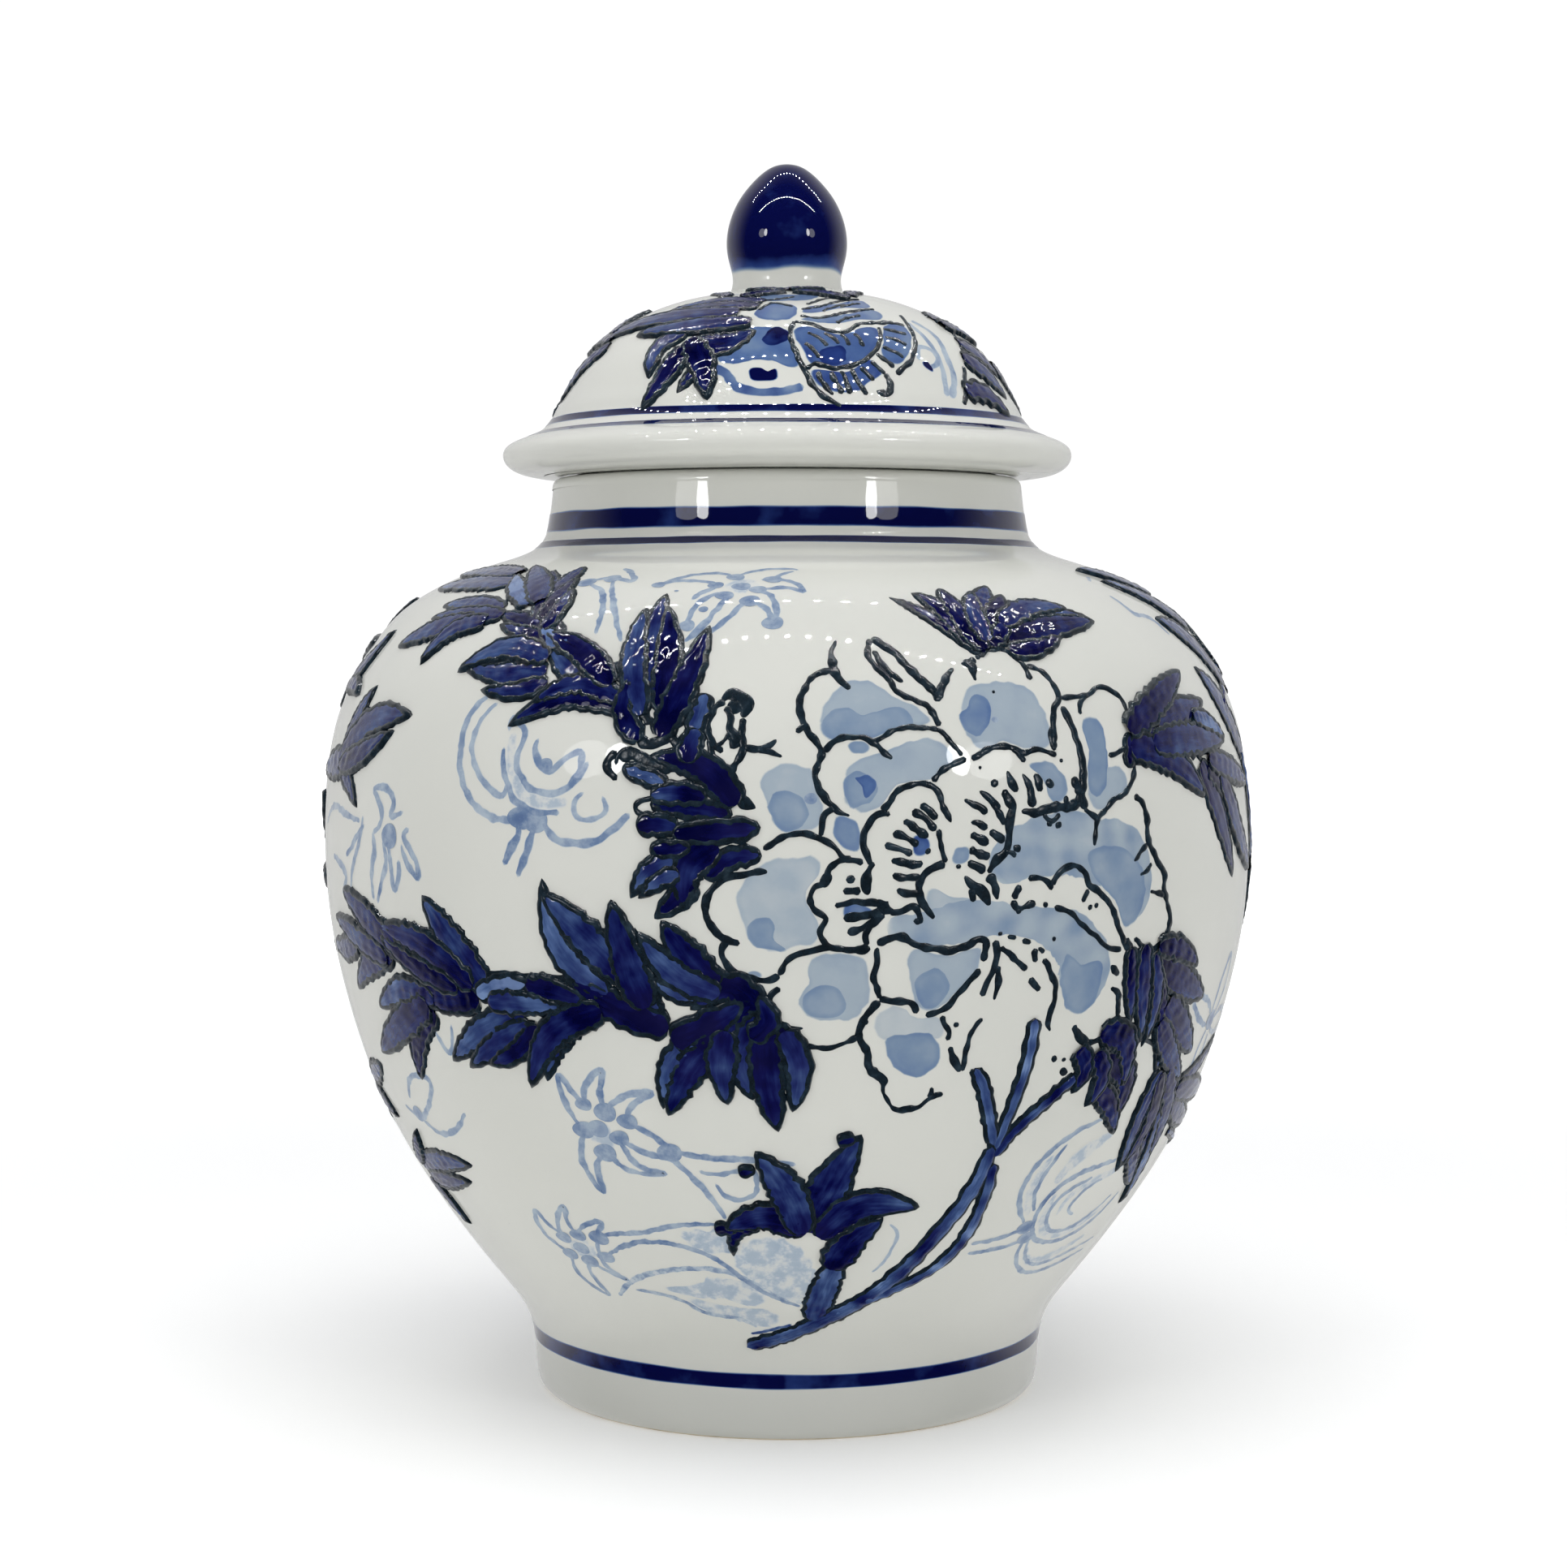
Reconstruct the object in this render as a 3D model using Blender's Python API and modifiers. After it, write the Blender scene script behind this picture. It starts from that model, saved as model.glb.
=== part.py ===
"""A lidded porcelain ginger jar, as the pieces a potter makes and lutes together.

Frame: origin on the table at the middle of the foot, +Z up, the jar's axis on Z.
The body and its foot ring are one rigid vessel. The lid is a shell, the ring that
locates it in the neck, and a knob, and it lifts straight off.
"""

import math

import bpy

MM = 0.001

# Driving sizes, in millimetres
SLIP_GAP = 0.3            # the slip joint left between two luted pieces, and under the seated lid
BODY_WALL = 4.0
RIM_FLAT_INNER = 45.9     # inner edge of the flat that the lid rests on
NECK_INNER = 44.3
NECK_TOP = 189.4
NECK_ROUND = 1.6          # rounding on the outer edge of the rim
RIM_OUTER = 48.9          # outer radius just under that rounding
FLOOR_CURVE_TOP = 22.0    # the inner wall follows the outer one from this height
NECK_CURVE_FOOT = 174.0   # and up to this one
NECK_BORE_FOOT = 178.0    # lower end of the neck's straight bore
CORNER_CUT = 1.6          # how far the rim's inner corner and the floor boss's corner are cut back

FOOT_HEIGHT = 11.2
FOOT_OUTER = 53.2
FOOT_TOE = 51.2           # outer edge of the face that stands on the table
FOOT_HEEL = 46.6          # inner edge of that face
FOOT_INNER = 45.4
FLOOR_UNDER = 8.0         # underside of the floor, inside the foot ring
FLOOR_BOSS = 44.6         # radius of the floor's thick middle, which drops into the foot ring
FLOOR_THICK = 5.6
FLOOR_FLAT = 40.0         # radius of the flat part of the floor, inside the vessel
FLOOR_FILLET = (49.0, 16.4)           # radius and height on the fillet between floor and wall
FOOT_TURN = ((52.9, 4.0), (52.4, 1.4))  # where the foot's outside turns under, as (radius, height)
HEEL_CUT = 1.4            # bevel of the foot's inner lower edge

LID_WALL = 4.2
DOME_FOOT = 203.0         # height where the dome rises out of the brim
LID_SEAT_INNER = 38.8     # where the lid's seat ends and its hollow begins
LID_THROAT = ((39.4, 193.0), (42.4, 198.6))  # the hollow between that seat and the dome, as (radius, height)
KNOB_SEAT = 227.9         # the flat on top of the dome where the knob is luted
KNOB_SEAT_RADIUS = 12.9

LOCATOR_OUTER = 42.4      # leaves about 2 mm of play in the neck
LOCATOR_INNER = 38.8
LOCATOR_DEPTH = 12.0
LOCATOR_EDGE = 1.2        # rounding of its lower edge

TURN_STEPS = 48           # facets round each turned piece
KNOB_STEPS = 32
SPAN_STEPS = 2            # facets between two stations of an outline

# Outer wall of the vessel from the foot joint to the neck, as (radius, height)
BODY_WALL_LINE = (
    (53.5, 12.4), (54.9, 16.0), (57.1, 20.0), (60.2, 24.0), (69.2, 36.0), (77.4, 48.0), (83.8, 60.0),
    (90.3, 78.0), (94.6, 96.0), (96.0, 115.0), (95.2, 131.0), (91.9, 144.0), (85.3, 156.0),
    (76.6, 164.4), (65.6, 170.0), (55.0, 173.5), (51.0, 176.4), (49.8, 180.0), (49.1, 186.2),
)

# Outside of the lid from under its brim to the knob's seat, as (radius, height)
LID_LINE = (
    (50.5, 189.7), (54.8, 190.2), (58.3, 192.0), (59.2, 194.2), (57.6, 196.2), (53.6, 198.0),
    (50.1, 199.8), (48.4, 202.2), (46.6, 206.0), (43.4, 212.0), (38.6, 217.2), (32.2, 222.0),
    (21.6, 225.8), (14.2, 227.5),
)

# Knob, from its foot on the dome to its tip, as (radius, height)
KNOB_LINE = (
    (12.9, 228.2), (11.5, 229.4), (11.3, 231.2), (12.2, 234.6), (12.55, 238.2), (11.9, 242.4),
    (10.2, 246.4), (7.4, 250.4), (4.0, 253.4), (1.6, 254.5),
)
KNOB_TIP = 254.7


def smooth(stations):
    """Points along a Catmull-Rom curve through the stations, SPAN_STEPS of them between two."""
    count = len(stations)
    line = []
    for i in range(count - 1):
        before, here = stations[max(i - 1, 0)], stations[i]
        there, after = stations[i + 1], stations[min(i + 2, count - 1)]
        for step in range(SPAN_STEPS):
            t = step / SPAN_STEPS
            line.append(tuple(
                0.5 * (2 * b + (c - a) * t + (2 * a - 5 * b + 4 * c - d) * t ** 2
                       + (3 * b - a - 3 * c + d) * t ** 3)
                for a, b, c, d in zip(before, here, there, after)
            ))
    line.append(tuple(stations[-1]))
    return line


def inward(line, wall):
    """The line moved towards the axis by the wall's thickness, square to itself."""
    moved = []
    for i, (radius, height) in enumerate(line):
        r0, z0 = line[max(i - 1, 0)]
        r1, z1 = line[min(i + 1, len(line) - 1)]
        run, rise = r1 - r0, z1 - z0
        length = math.hypot(run, rise)
        moved.append((radius - wall * rise / length, height + wall * run / length))
    return moved


def glaze(name, colour, roughness):
    """A glossy non-metal in one colour."""
    material = bpy.data.materials.new(name)
    material.use_nodes = True
    shader = material.node_tree.nodes["Principled BSDF"]
    shader.inputs["Base Color"].default_value = (*colour, 1.0)
    shader.inputs["Roughness"].default_value = roughness
    shader.inputs["Metallic"].default_value = 0.0
    return material


def turned(name, profile, material, collection, steps=TURN_STEPS, closed=False):
    """A solid of revolution about Z. The profile runs down its outer side, in millimetres."""
    mesh = bpy.data.meshes.new(name)
    points = [(radius * MM, 0.0, height * MM) for radius, height in profile]
    edges = [(i, i + 1) for i in range(len(points) - 1)]
    if closed:
        edges.append((len(points) - 1, 0))
    mesh.from_pydata(points, edges, [])
    mesh.materials.append(material)
    piece = bpy.data.objects.new(name, mesh)
    collection.objects.link(piece)
    screw = piece.modifiers.new("turn", "SCREW")
    screw.axis = "Z"
    screw.angle = 2 * math.pi
    screw.steps = screw.render_steps = steps
    screw.use_merge_vertices = True
    screw.merge_threshold = 0.00001
    screw.use_smooth_shade = True
    return piece


def rounded_rim():
    """The rim's outer corner as a quarter round, from the wall up to the flat top."""
    centre = (RIM_OUTER - NECK_ROUND, NECK_TOP - NECK_ROUND)
    turns = (0.0, 30.0, 60.0, 90.0)
    return [(centre[0] + NECK_ROUND * math.cos(math.radians(a)),
             centre[1] + NECK_ROUND * math.sin(math.radians(a))) for a in turns]


def make_body(material, collection):
    """The vessel: an even wall, a floor, and a flat-topped rim. It stands on the foot ring."""
    outer = smooth(BODY_WALL_LINE) + rounded_rim()
    wall = [p for p in inward(BODY_WALL_LINE, BODY_WALL) if FLOOR_CURVE_TOP < p[1] < NECK_CURVE_FOOT]
    floor_top = FLOOR_UNDER + FLOOR_THICK
    inner = [(0.0, floor_top), (FLOOR_FLAT, floor_top), FLOOR_FILLET] + wall
    inner += [(NECK_INNER, NECK_BORE_FOOT), (NECK_INNER, NECK_TOP - CORNER_CUT), (RIM_FLAT_INNER, NECK_TOP)]
    seat = FOOT_HEIGHT + SLIP_GAP
    under = [(FOOT_OUTER, seat), (FLOOR_BOSS, seat), (FLOOR_BOSS - CORNER_CUT, FLOOR_UNDER), (0.0, FLOOR_UNDER)]
    return turned("jar_body", inner + outer[::-1] + under, material, collection)


def make_foot_ring(material, collection):
    """The upright ring that the jar stands on, with a bevelled toe and heel."""
    profile = [
        (FOOT_INNER, FOOT_HEIGHT), (FOOT_OUTER, FOOT_HEIGHT), *FOOT_TURN,
        (FOOT_TOE, 0.0), (FOOT_HEEL, 0.0), (FOOT_INNER, HEEL_CUT),
    ]
    return turned("foot_ring", profile, material, collection, closed=True)


def make_lid_shell(material, collection):
    """Dome and brim in one wall, with a flat seat under the brim and another on top for the knob."""
    outer = smooth(LID_LINE)
    dome = [p for p in LID_LINE if p[1] > DOME_FOOT]
    hollow = inward(dome, LID_WALL)
    seat = NECK_TOP + SLIP_GAP
    top = [(KNOB_SEAT_RADIUS, KNOB_SEAT), (0.0, KNOB_SEAT)]
    inside = [(LID_SEAT_INNER, seat), *LID_THROAT] + hollow + [(0.0, KNOB_SEAT - LID_WALL)]
    return turned("lid_shell", top[::-1] + outer[::-1] + inside, material, collection)


def make_locator(material, collection):
    """The short tube under the lid that drops into the neck and keeps the lid centred."""
    top = NECK_TOP
    bottom = top - LOCATOR_DEPTH
    profile = [
        (LOCATOR_INNER, top), (LOCATOR_OUTER, top), (LOCATOR_OUTER, bottom + LOCATOR_EDGE),
        (LOCATOR_OUTER - LOCATOR_EDGE, bottom), (LOCATOR_INNER + LOCATOR_EDGE, bottom),
        (LOCATOR_INNER, bottom + LOCATOR_EDGE),
    ]
    return turned("lid_locating_ring", profile, material, collection, closed=True)


def make_knob(material, collection):
    """The acorn-shaped finial, solid, with a flat foot."""
    profile = [(0.0, KNOB_TIP)] + smooth(KNOB_LINE)[::-1] + [(0.0, KNOB_LINE[0][1])]
    return turned("lid_knob", profile, material, collection, steps=KNOB_STEPS)


def clear_scene():
    for thing in list(bpy.data.objects):
        bpy.data.objects.remove(thing, do_unlink=True)


def main():
    clear_scene()
    collection = bpy.data.collections.new("ginger_jar")
    bpy.context.scene.collection.children.link(collection)
    white = glaze("white_porcelain_glaze", (0.80, 0.81, 0.78), 0.12)
    cobalt = glaze("cobalt_glaze", (0.012, 0.012, 0.16), 0.08)

    body = make_body(white, collection)
    foot = make_foot_ring(white, collection)
    foot.parent = body

    lid = make_lid_shell(white, collection)
    for piece in (make_locator(white, collection), make_knob(cobalt, collection)):
        piece.parent = lid


main()
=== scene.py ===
import math

import bpy
import numpy as np
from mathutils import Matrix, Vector


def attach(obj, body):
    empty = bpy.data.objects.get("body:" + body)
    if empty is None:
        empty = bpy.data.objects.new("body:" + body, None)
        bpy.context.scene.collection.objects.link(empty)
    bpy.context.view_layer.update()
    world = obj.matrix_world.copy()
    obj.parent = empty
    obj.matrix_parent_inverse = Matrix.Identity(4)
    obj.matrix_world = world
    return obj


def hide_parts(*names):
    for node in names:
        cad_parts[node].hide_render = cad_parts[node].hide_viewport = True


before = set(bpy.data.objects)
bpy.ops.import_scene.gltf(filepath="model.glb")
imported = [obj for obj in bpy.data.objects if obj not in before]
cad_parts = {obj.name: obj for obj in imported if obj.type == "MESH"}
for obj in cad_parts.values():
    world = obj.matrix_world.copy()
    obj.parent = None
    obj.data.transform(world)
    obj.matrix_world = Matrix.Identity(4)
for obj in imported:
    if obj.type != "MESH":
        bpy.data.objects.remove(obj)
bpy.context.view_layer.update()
mm = 0.001
print("frame loaded")


# the camera, then the floor and the light

cameraPlace = {"away": 0.627, "height": 0.1591, "aside": -0.0006, "pitch": 3.048, "lens": 68.6}

cameraData = bpy.data.cameras.new("viewer")
camera = bpy.data.objects.new("viewer", cameraData)
bpy.context.scene.collection.objects.link(camera)
cameraData.lens = cameraPlace["lens"]
cameraData.sensor_width = 36.0
cameraData.clip_start = 0.01
camera.location = (cameraPlace["aside"], -cameraPlace["away"], cameraPlace["height"])
camera.rotation_euler = (math.radians(90.0 - cameraPlace["pitch"]), 0.0, 0.0)
bpy.context.scene.camera = camera
bpy.context.scene.view_settings.view_transform = "Standard"


def linear(code):
    # an sRGB hex colour as linear red, green, blue and alpha
    parts = [int(code[i:i + 2], 16) / 255.0 for i in (1, 3, 5)]
    return tuple(c / 12.92 if c <= 0.04045 else ((c + 0.055) / 1.055) ** 2.4 for c in parts) + (1.0,)


def addNode(tree, kind, settings=None, inputs=None):
    # one node, with its settings and with its inputs set or linked
    item = tree.nodes.new(kind)
    for key, value in (settings or {}).items():
        setattr(item, key, value)
    for key, value in (inputs or {}).items():
        if isinstance(value, bpy.types.NodeSocket):
            tree.links.new(value, item.inputs[key])
        else:
            item.inputs[key].default_value = value
    return item


def newMaterial(name):
    # an empty material, its tree and its shader
    material = bpy.data.materials.new(name)
    material.use_nodes = True
    tree = material.node_tree
    return material, tree, tree.nodes["Principled BSDF"]


def mathNode(tree, operation, a, b=0.0, clamp=False):
    return addNode(tree, "ShaderNodeMath", {"operation": operation, "use_clamp": clamp}, {0: a, 1: b}).outputs[0]


def mixColour(tree, factor, a, b):
    item = addNode(tree, "ShaderNodeMix", {"data_type": "RGBA"}, {0: factor, 6: a, 7: b})
    return item.outputs[2]


def noiseNode(tree, size, detail=2.0, rough=0.5):
    # noise whose features are size millimetres across
    place = addNode(tree, "ShaderNodeTexCoord").outputs["Object"]
    return addNode(tree, "ShaderNodeTexNoise", None,
                   {"Vector": place, "Scale": 1.0 / (size * mm), "Detail": detail, "Roughness": rough}).outputs[0]


def rampNode(tree, factor, stops):
    # colours that run into each other at the places given
    item = addNode(tree, "ShaderNodeValToRGB", None, {0: factor})
    ramp = item.color_ramp
    while len(ramp.elements) < len(stops):
        ramp.elements.new(0.5)
    for element, (place, code) in zip(ramp.elements, stops):
        element.position = place
        element.color = linear(code)
    return item.outputs[0]


def attributeNode(tree, name):
    # a number kept at each point of the piece
    return addNode(tree, "ShaderNodeAttribute", {"attribute_name": name}).outputs["Fac"]


studio = {"floor": "#f4f4f2", "tableGlow": 0.25, "tent": 1.05, "world": 0.36, "key": 12.0, "front": 1.1, "window": 2.2,
          "dot": 520.0, "backCloth": 0.62, "wide": 4.0, "sides": 96}
lampRows = {"places": ((-0.26, 0.78), (0.12, 0.80)), "reach": 0.6, "count": 27, "half": 0.0042}


def glowMaterial(name, strength=0.0):
    # cloth or a lamp that only gives light, and neither mirrors nor scatters any
    material, tree, shader = newMaterial(name)
    shader.inputs["Base Color"].default_value = (0.0, 0.0, 0.0, 1.0)
    shader.inputs["Specular IOR Level"].default_value = 0.0
    shader.inputs["Emission Color"].default_value = (1.0, 1.0, 1.0, 1.0)
    shader.inputs["Emission Strength"].default_value = strength
    return material, tree, shader


def makeTable():
    # a round white table lit a little from below, in a white tent that only the camera sees. The glaze mirrors the
    # lamps, and at its edges a white cloth behind the jar, as it does in a dim room. Tent and cloth are domes: rings
    # whose radius is the cosine and whose height is the sine of the angle up
    wide, sides = studio["wide"], studio["sides"]
    turn = np.linspace(0.0, 2.0 * np.pi, sides, endpoint=False)
    table = bpy.data.meshes.new("paperTable")
    table.from_pydata([(wide * math.sin(a), wide * math.cos(a), 0.0) for a in turn], [],
                      [tuple(range(sides - 1, -1, -1))])
    material, tree, shader = newMaterial("glowingPaperTable")
    grain = noiseNode(tree, 2.0)
    tree.links.new(mixColour(tree, grain, linear("#efefed"), linear(studio["floor"])), shader.inputs["Base Color"])
    shader.inputs["Roughness"].default_value = 0.9
    shader.inputs["Emission Color"].default_value = (1.0, 1.0, 1.0, 1.0)
    # the table glows as painted light, no lamp: its emission lights the jar from below, weakest near the jar and rising
    # to nearly white farther out, where it whitens the floor
    away = addNode(tree, "ShaderNodeVectorMath", {"operation": "LENGTH"}, {
        0: addNode(tree, "ShaderNodeTexCoord").outputs["Object"]}).outputs["Value"]
    glow = addNode(tree, "ShaderNodeMapRange", {"interpolation_type": "SMOOTHSTEP"}, {
        "Value": away, "From Min": 0.25, "From Max": 1.1, "To Min": studio["tableGlow"], "To Max": 0.95}).outputs[0]
    tree.links.new(glow, shader.inputs["Emission Strength"])
    table.materials.append(material)
    domes = []
    for name, lowest in (("clothTent", -0.02), ("backCloth", -1.0)):
        heights = 0.5 * np.pi * np.linspace(lowest, 1.0, 24)
        rings = [(wide * math.cos(h) + 0.01, wide * math.sin(h)) for h in heights]
        points = [(r * math.sin(a), r * math.cos(a), z) for r, z in rings for a in turn]
        faces = [(sides * i + j, sides * i + (j + 1) % sides, sides * (i + 1) + (j + 1) % sides, sides * (i + 1) + j)
                 for i in range(len(rings) - 1) for j in range(sides)]
        dome = bpy.data.meshes.new(name)
        dome.from_pydata(points, [], faces)
        dome.polygons.foreach_set("use_smooth", np.ones(len(faces), bool))
        domes.append(dome)
    tent, cloth = domes
    tent.materials.append(glowMaterial("clothGlow", studio["tent"])[0])
    material, tree, shader = glowMaterial("backClothGlow")
    behind = addNode(tree, "ShaderNodeSeparateXYZ", None, {
        0: addNode(tree, "ShaderNodeTexCoord").outputs["Object"]}).outputs["Y"]
    glow = addNode(tree, "ShaderNodeMapRange", {"interpolation_type": "SMOOTHSTEP"}, {
        "Value": behind, "From Min": -0.5, "From Max": 2.4, "To Min": 0.0, "To Max": studio["backCloth"]}).outputs[0]
    tree.links.new(glow, shader.inputs["Emission Strength"])
    cloth.materials.append(material)
    for name, mesh in (("paperTable", table), ("clothTent", tent), ("backCloth", cloth)):
        thing = bpy.data.objects.new(name, mesh)
        bpy.context.scene.collection.objects.link(thing)
        thing.visible_glossy = name == "backCloth"
        thing.visible_camera = name != "backCloth"
        if name != "paperTable":
            thing.visible_diffuse = thing.visible_shadow = thing.visible_transmission = False


def addLight(name, place, target, size, watts, mirrored, shape="RECTANGLE"):
    # a flat lamp that faces the target; mirrored says whether the glaze shows it
    data = bpy.data.lights.new(name, "AREA")
    data.shape = shape
    data.size, data.size_y = size
    data.energy = watts
    light = bpy.data.objects.new(name, data)
    light.location = place
    light.rotation_mode = "QUATERNION"
    light.rotation_quaternion = (Vector(target) - Vector(place)).to_track_quat("-Z", "Y")
    bpy.context.scene.collection.objects.link(light)
    light.visible_glossy = mirrored


def makeLightRows():
    # two rows of small lamps under the roof of the light tent, seen only as sparks in the glaze
    half = lampRows["half"]
    across = np.linspace(-lampRows["reach"], lampRows["reach"], lampRows["count"])
    spots = [(x, y, z) for y, z in lampRows["places"] for x in across]
    points, faces = [], []
    for x, y, z in spots:
        first = len(points)
        points += [(x - half, y - half, z), (x + half, y - half, z), (x + half, y + half, z), (x - half, y + half, z)]
        faces.append((first, first + 3, first + 2, first + 1))
    mesh = bpy.data.meshes.new("lampRows")
    mesh.from_pydata(points, [], faces)
    mesh.materials.append(glowMaterial("lampGlow", studio["dot"])[0])
    rows = bpy.data.objects.new("lampRows", mesh)
    bpy.context.scene.collection.objects.link(rows)
    rows.visible_camera = rows.visible_diffuse = rows.visible_shadow = False


makeTable()
world = bpy.data.worlds.new("tent")
bpy.context.scene.world = world
world.use_nodes = True
world.node_tree.nodes["Background"].inputs["Color"].default_value = linear("#f6f8ff")
world.node_tree.nodes["Background"].inputs["Strength"].default_value = studio["world"]
world.cycles_visibility.glossy = False
middle = (0.0, 0.0, 0.12)
addLight("roofSoftbox", (0.0, -0.25, 1.35), middle, (1.2, 1.0), studio["key"], False)
addLight("frontSoftbox", (0.0, -1.7, 1.1), middle, (1.4, 0.8), studio["front"], False)
window = studio["window"]
for side in (-1.0, 1.0):
    addLight("sideWindow", (side * 1.0, -1.15, 0.62), middle, (0.16, 0.30), 0.75 * window, True, "ELLIPSE")
    addLight("sideReflector", (side * 1.16, -1.02, 0.60), middle, (0.34, 0.36), 0.35 * window, True, "ELLIPSE")
makeLightRows()
print("camera, floor and light")


# curves and meshes that every piece uses

def throughPoints(points, count):
    # natural cubic spline through the points by chord length, at count even steps
    p = np.asarray(points, float)
    t = np.concatenate([[0.0], np.cumsum(np.linalg.norm(np.diff(p[:, :2], axis=0), axis=1))])
    h, n = np.diff(t), len(p)
    matrix, right = np.zeros((n, n)), np.zeros_like(p)
    matrix[0, 0] = matrix[-1, -1] = 1.0
    inner = np.arange(1, n - 1)
    matrix[inner, inner - 1] = h[:-1]
    matrix[inner, inner] = 2.0 * (h[:-1] + h[1:])
    matrix[inner, inner + 1] = h[1:]
    slope = np.diff(p, axis=0) / h[:, None]
    right[1:-1] = 6.0 * np.diff(slope, axis=0)
    bend = np.linalg.solve(matrix, right)
    u = np.linspace(0.0, t[-1], count)
    i = np.clip(np.searchsorted(t, u, side="right") - 1, 0, n - 2)
    a, b, w = (t[i + 1] - u)[:, None], (u - t[i])[:, None], h[i][:, None]
    return ((bend[i] * a ** 3 + bend[i + 1] * b ** 3) / (6.0 * w)
            + (p[i] / w - bend[i] * w / 6.0) * a + (p[i + 1] / w - bend[i + 1] * w / 6.0) * b)


def closedThrough(points, count):
    # the same spline run round a closed outline, joined without a corner
    p = np.asarray(points, float)
    n, over = len(p), min(3, len(p))
    long = np.concatenate([p[-over:], p, p[:over + 1]])
    t = np.concatenate([[0.0], np.cumsum(np.linalg.norm(np.diff(long, axis=0), axis=1))])
    fine = throughPoints(long, 40 * len(long))
    ft = np.linspace(0.0, t[-1], len(fine))
    u = np.linspace(t[over], t[over + n], count, endpoint=False)
    return np.stack([np.interp(u, ft, fine[:, 0]), np.interp(u, ft, fine[:, 1])], 1)


def waves(x, y, size, seed):
    # smooth unevenness from -1 to 1: seven plane waves about size millimetres long, in seeded directions
    rng = np.random.default_rng(seed)
    total = np.zeros(np.broadcast(x, y).shape)
    for turn, stretch, phase in zip(rng.uniform(0, np.pi, 7), rng.uniform(0.6, 1.6, 7), rng.uniform(0, 2 * np.pi, 7)):
        total += np.sin(2 * np.pi * (x * np.cos(turn) + y * np.sin(turn)) / (size * stretch) + phase)
    return total / 3.2


def smoothStep(x):
    # three squares less two cubes, from 0 to 1
    x = np.clip(x, 0.0, 1.0)
    return x * x * (3.0 - 2.0 * x)


def makeSkin(stations, designRadius, zeroHeight, unevenness):
    # an outline turned about the axis, and its design plane. Across the plane is the turn times the design
    # radius, and up it is the sum of outline length over radius, so drawn shapes keep their angles on the jar
    fine = throughPoints(stations, 3000)
    r, z = fine[:, 0], fine[:, 1]
    length = np.hypot(np.diff(r), np.diff(z))
    up = np.concatenate([[0.0], np.cumsum(length / (0.5 * (r[1:] + r[:-1])))]) * designRadius
    order = np.argsort(z)
    up -= np.interp(zeroHeight, z[order], up[order])
    dr, dz = np.gradient(r), np.gradient(z)
    size = np.hypot(dr, dz)
    return {"r": r, "z": z, "up": up, "nr": dz / size, "nz": -dr / size, "radius": designRadius,
            "unevenness": unevenness}


def handThrown(skin, turn, z):
    # slow waves two, three and five times round the pot, growing in above the foot, in millimetres
    return skin["unevenness"] * (np.sin(2 * turn + 0.7) + 0.7 * np.sin(3 * turn + z / 21.0)
                                 + 0.6 * np.sin(5 * turn - z / 13.0 + 2.0)) * smoothStep(z / 12.0)


def place(skin, x, y, lift):
    # design plane to space, lift millimetres out along the outline's normal, in metres
    r, z = np.interp(y, skin["up"], skin["r"]), np.interp(y, skin["up"], skin["z"])
    nr, nz = np.interp(y, skin["up"], skin["nr"]), np.interp(y, skin["up"], skin["nz"])
    turn = x / skin["radius"]
    out = lift + handThrown(skin, turn, z)
    return np.stack([(r + out * nr) * np.sin(turn), -(r + out * nr) * np.cos(turn), z + out * nz], -1) * mm


def skinNormal(skin, x, y):
    # cross product of two short steps on the uneven skin
    step = 0.5
    across = place(skin, x + step, y, 0.0) - place(skin, x - step, y, 0.0)
    along = place(skin, x, y + step, 0.0) - place(skin, x, y - step, 0.0)
    normal = np.cross(across, along)
    return normal / np.linalg.norm(normal, axis=-1, keepdims=True)


def newHeap():
    # grids that will make one mesh, with the numbers kept at their points
    return {"points": [], "quads": [], "values": {}, "normals": [], "count": 0}


def addGrid(heap, points, outward, wrap=False, normals=None, **values):
    # rows by columns of points as quads that face the way of outward
    rows, columns = points.shape[:2]
    index = np.arange(rows * columns).reshape(rows, columns)
    after = np.roll(index, -1, axis=1)
    span = columns if wrap else columns - 1
    quads = np.stack([index[:-1, :span], after[:-1, :span], after[1:, :span], index[1:, :span]], -1).reshape(-1, 4)
    flat = points.reshape(-1, 3)
    a, b, c, d = (flat[quads[:, i]] for i in range(4))
    facing = np.sum(np.cross(c - a, d - b) * np.broadcast_to(outward, points.shape).reshape(-1, 3)[quads[:, 0]])
    if facing < 0.0:
        quads = quads[:, ::-1]
    heap["points"].append(flat)
    heap["quads"].append(quads + heap["count"])
    heap["normals"].append(flat * 0.0 if normals is None else normals.reshape(-1, 3))
    for key, value in values.items():
        heap["values"].setdefault(key, []).append(np.broadcast_to(value, (rows, columns)).ravel())
    heap["count"] += rows * columns


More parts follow.
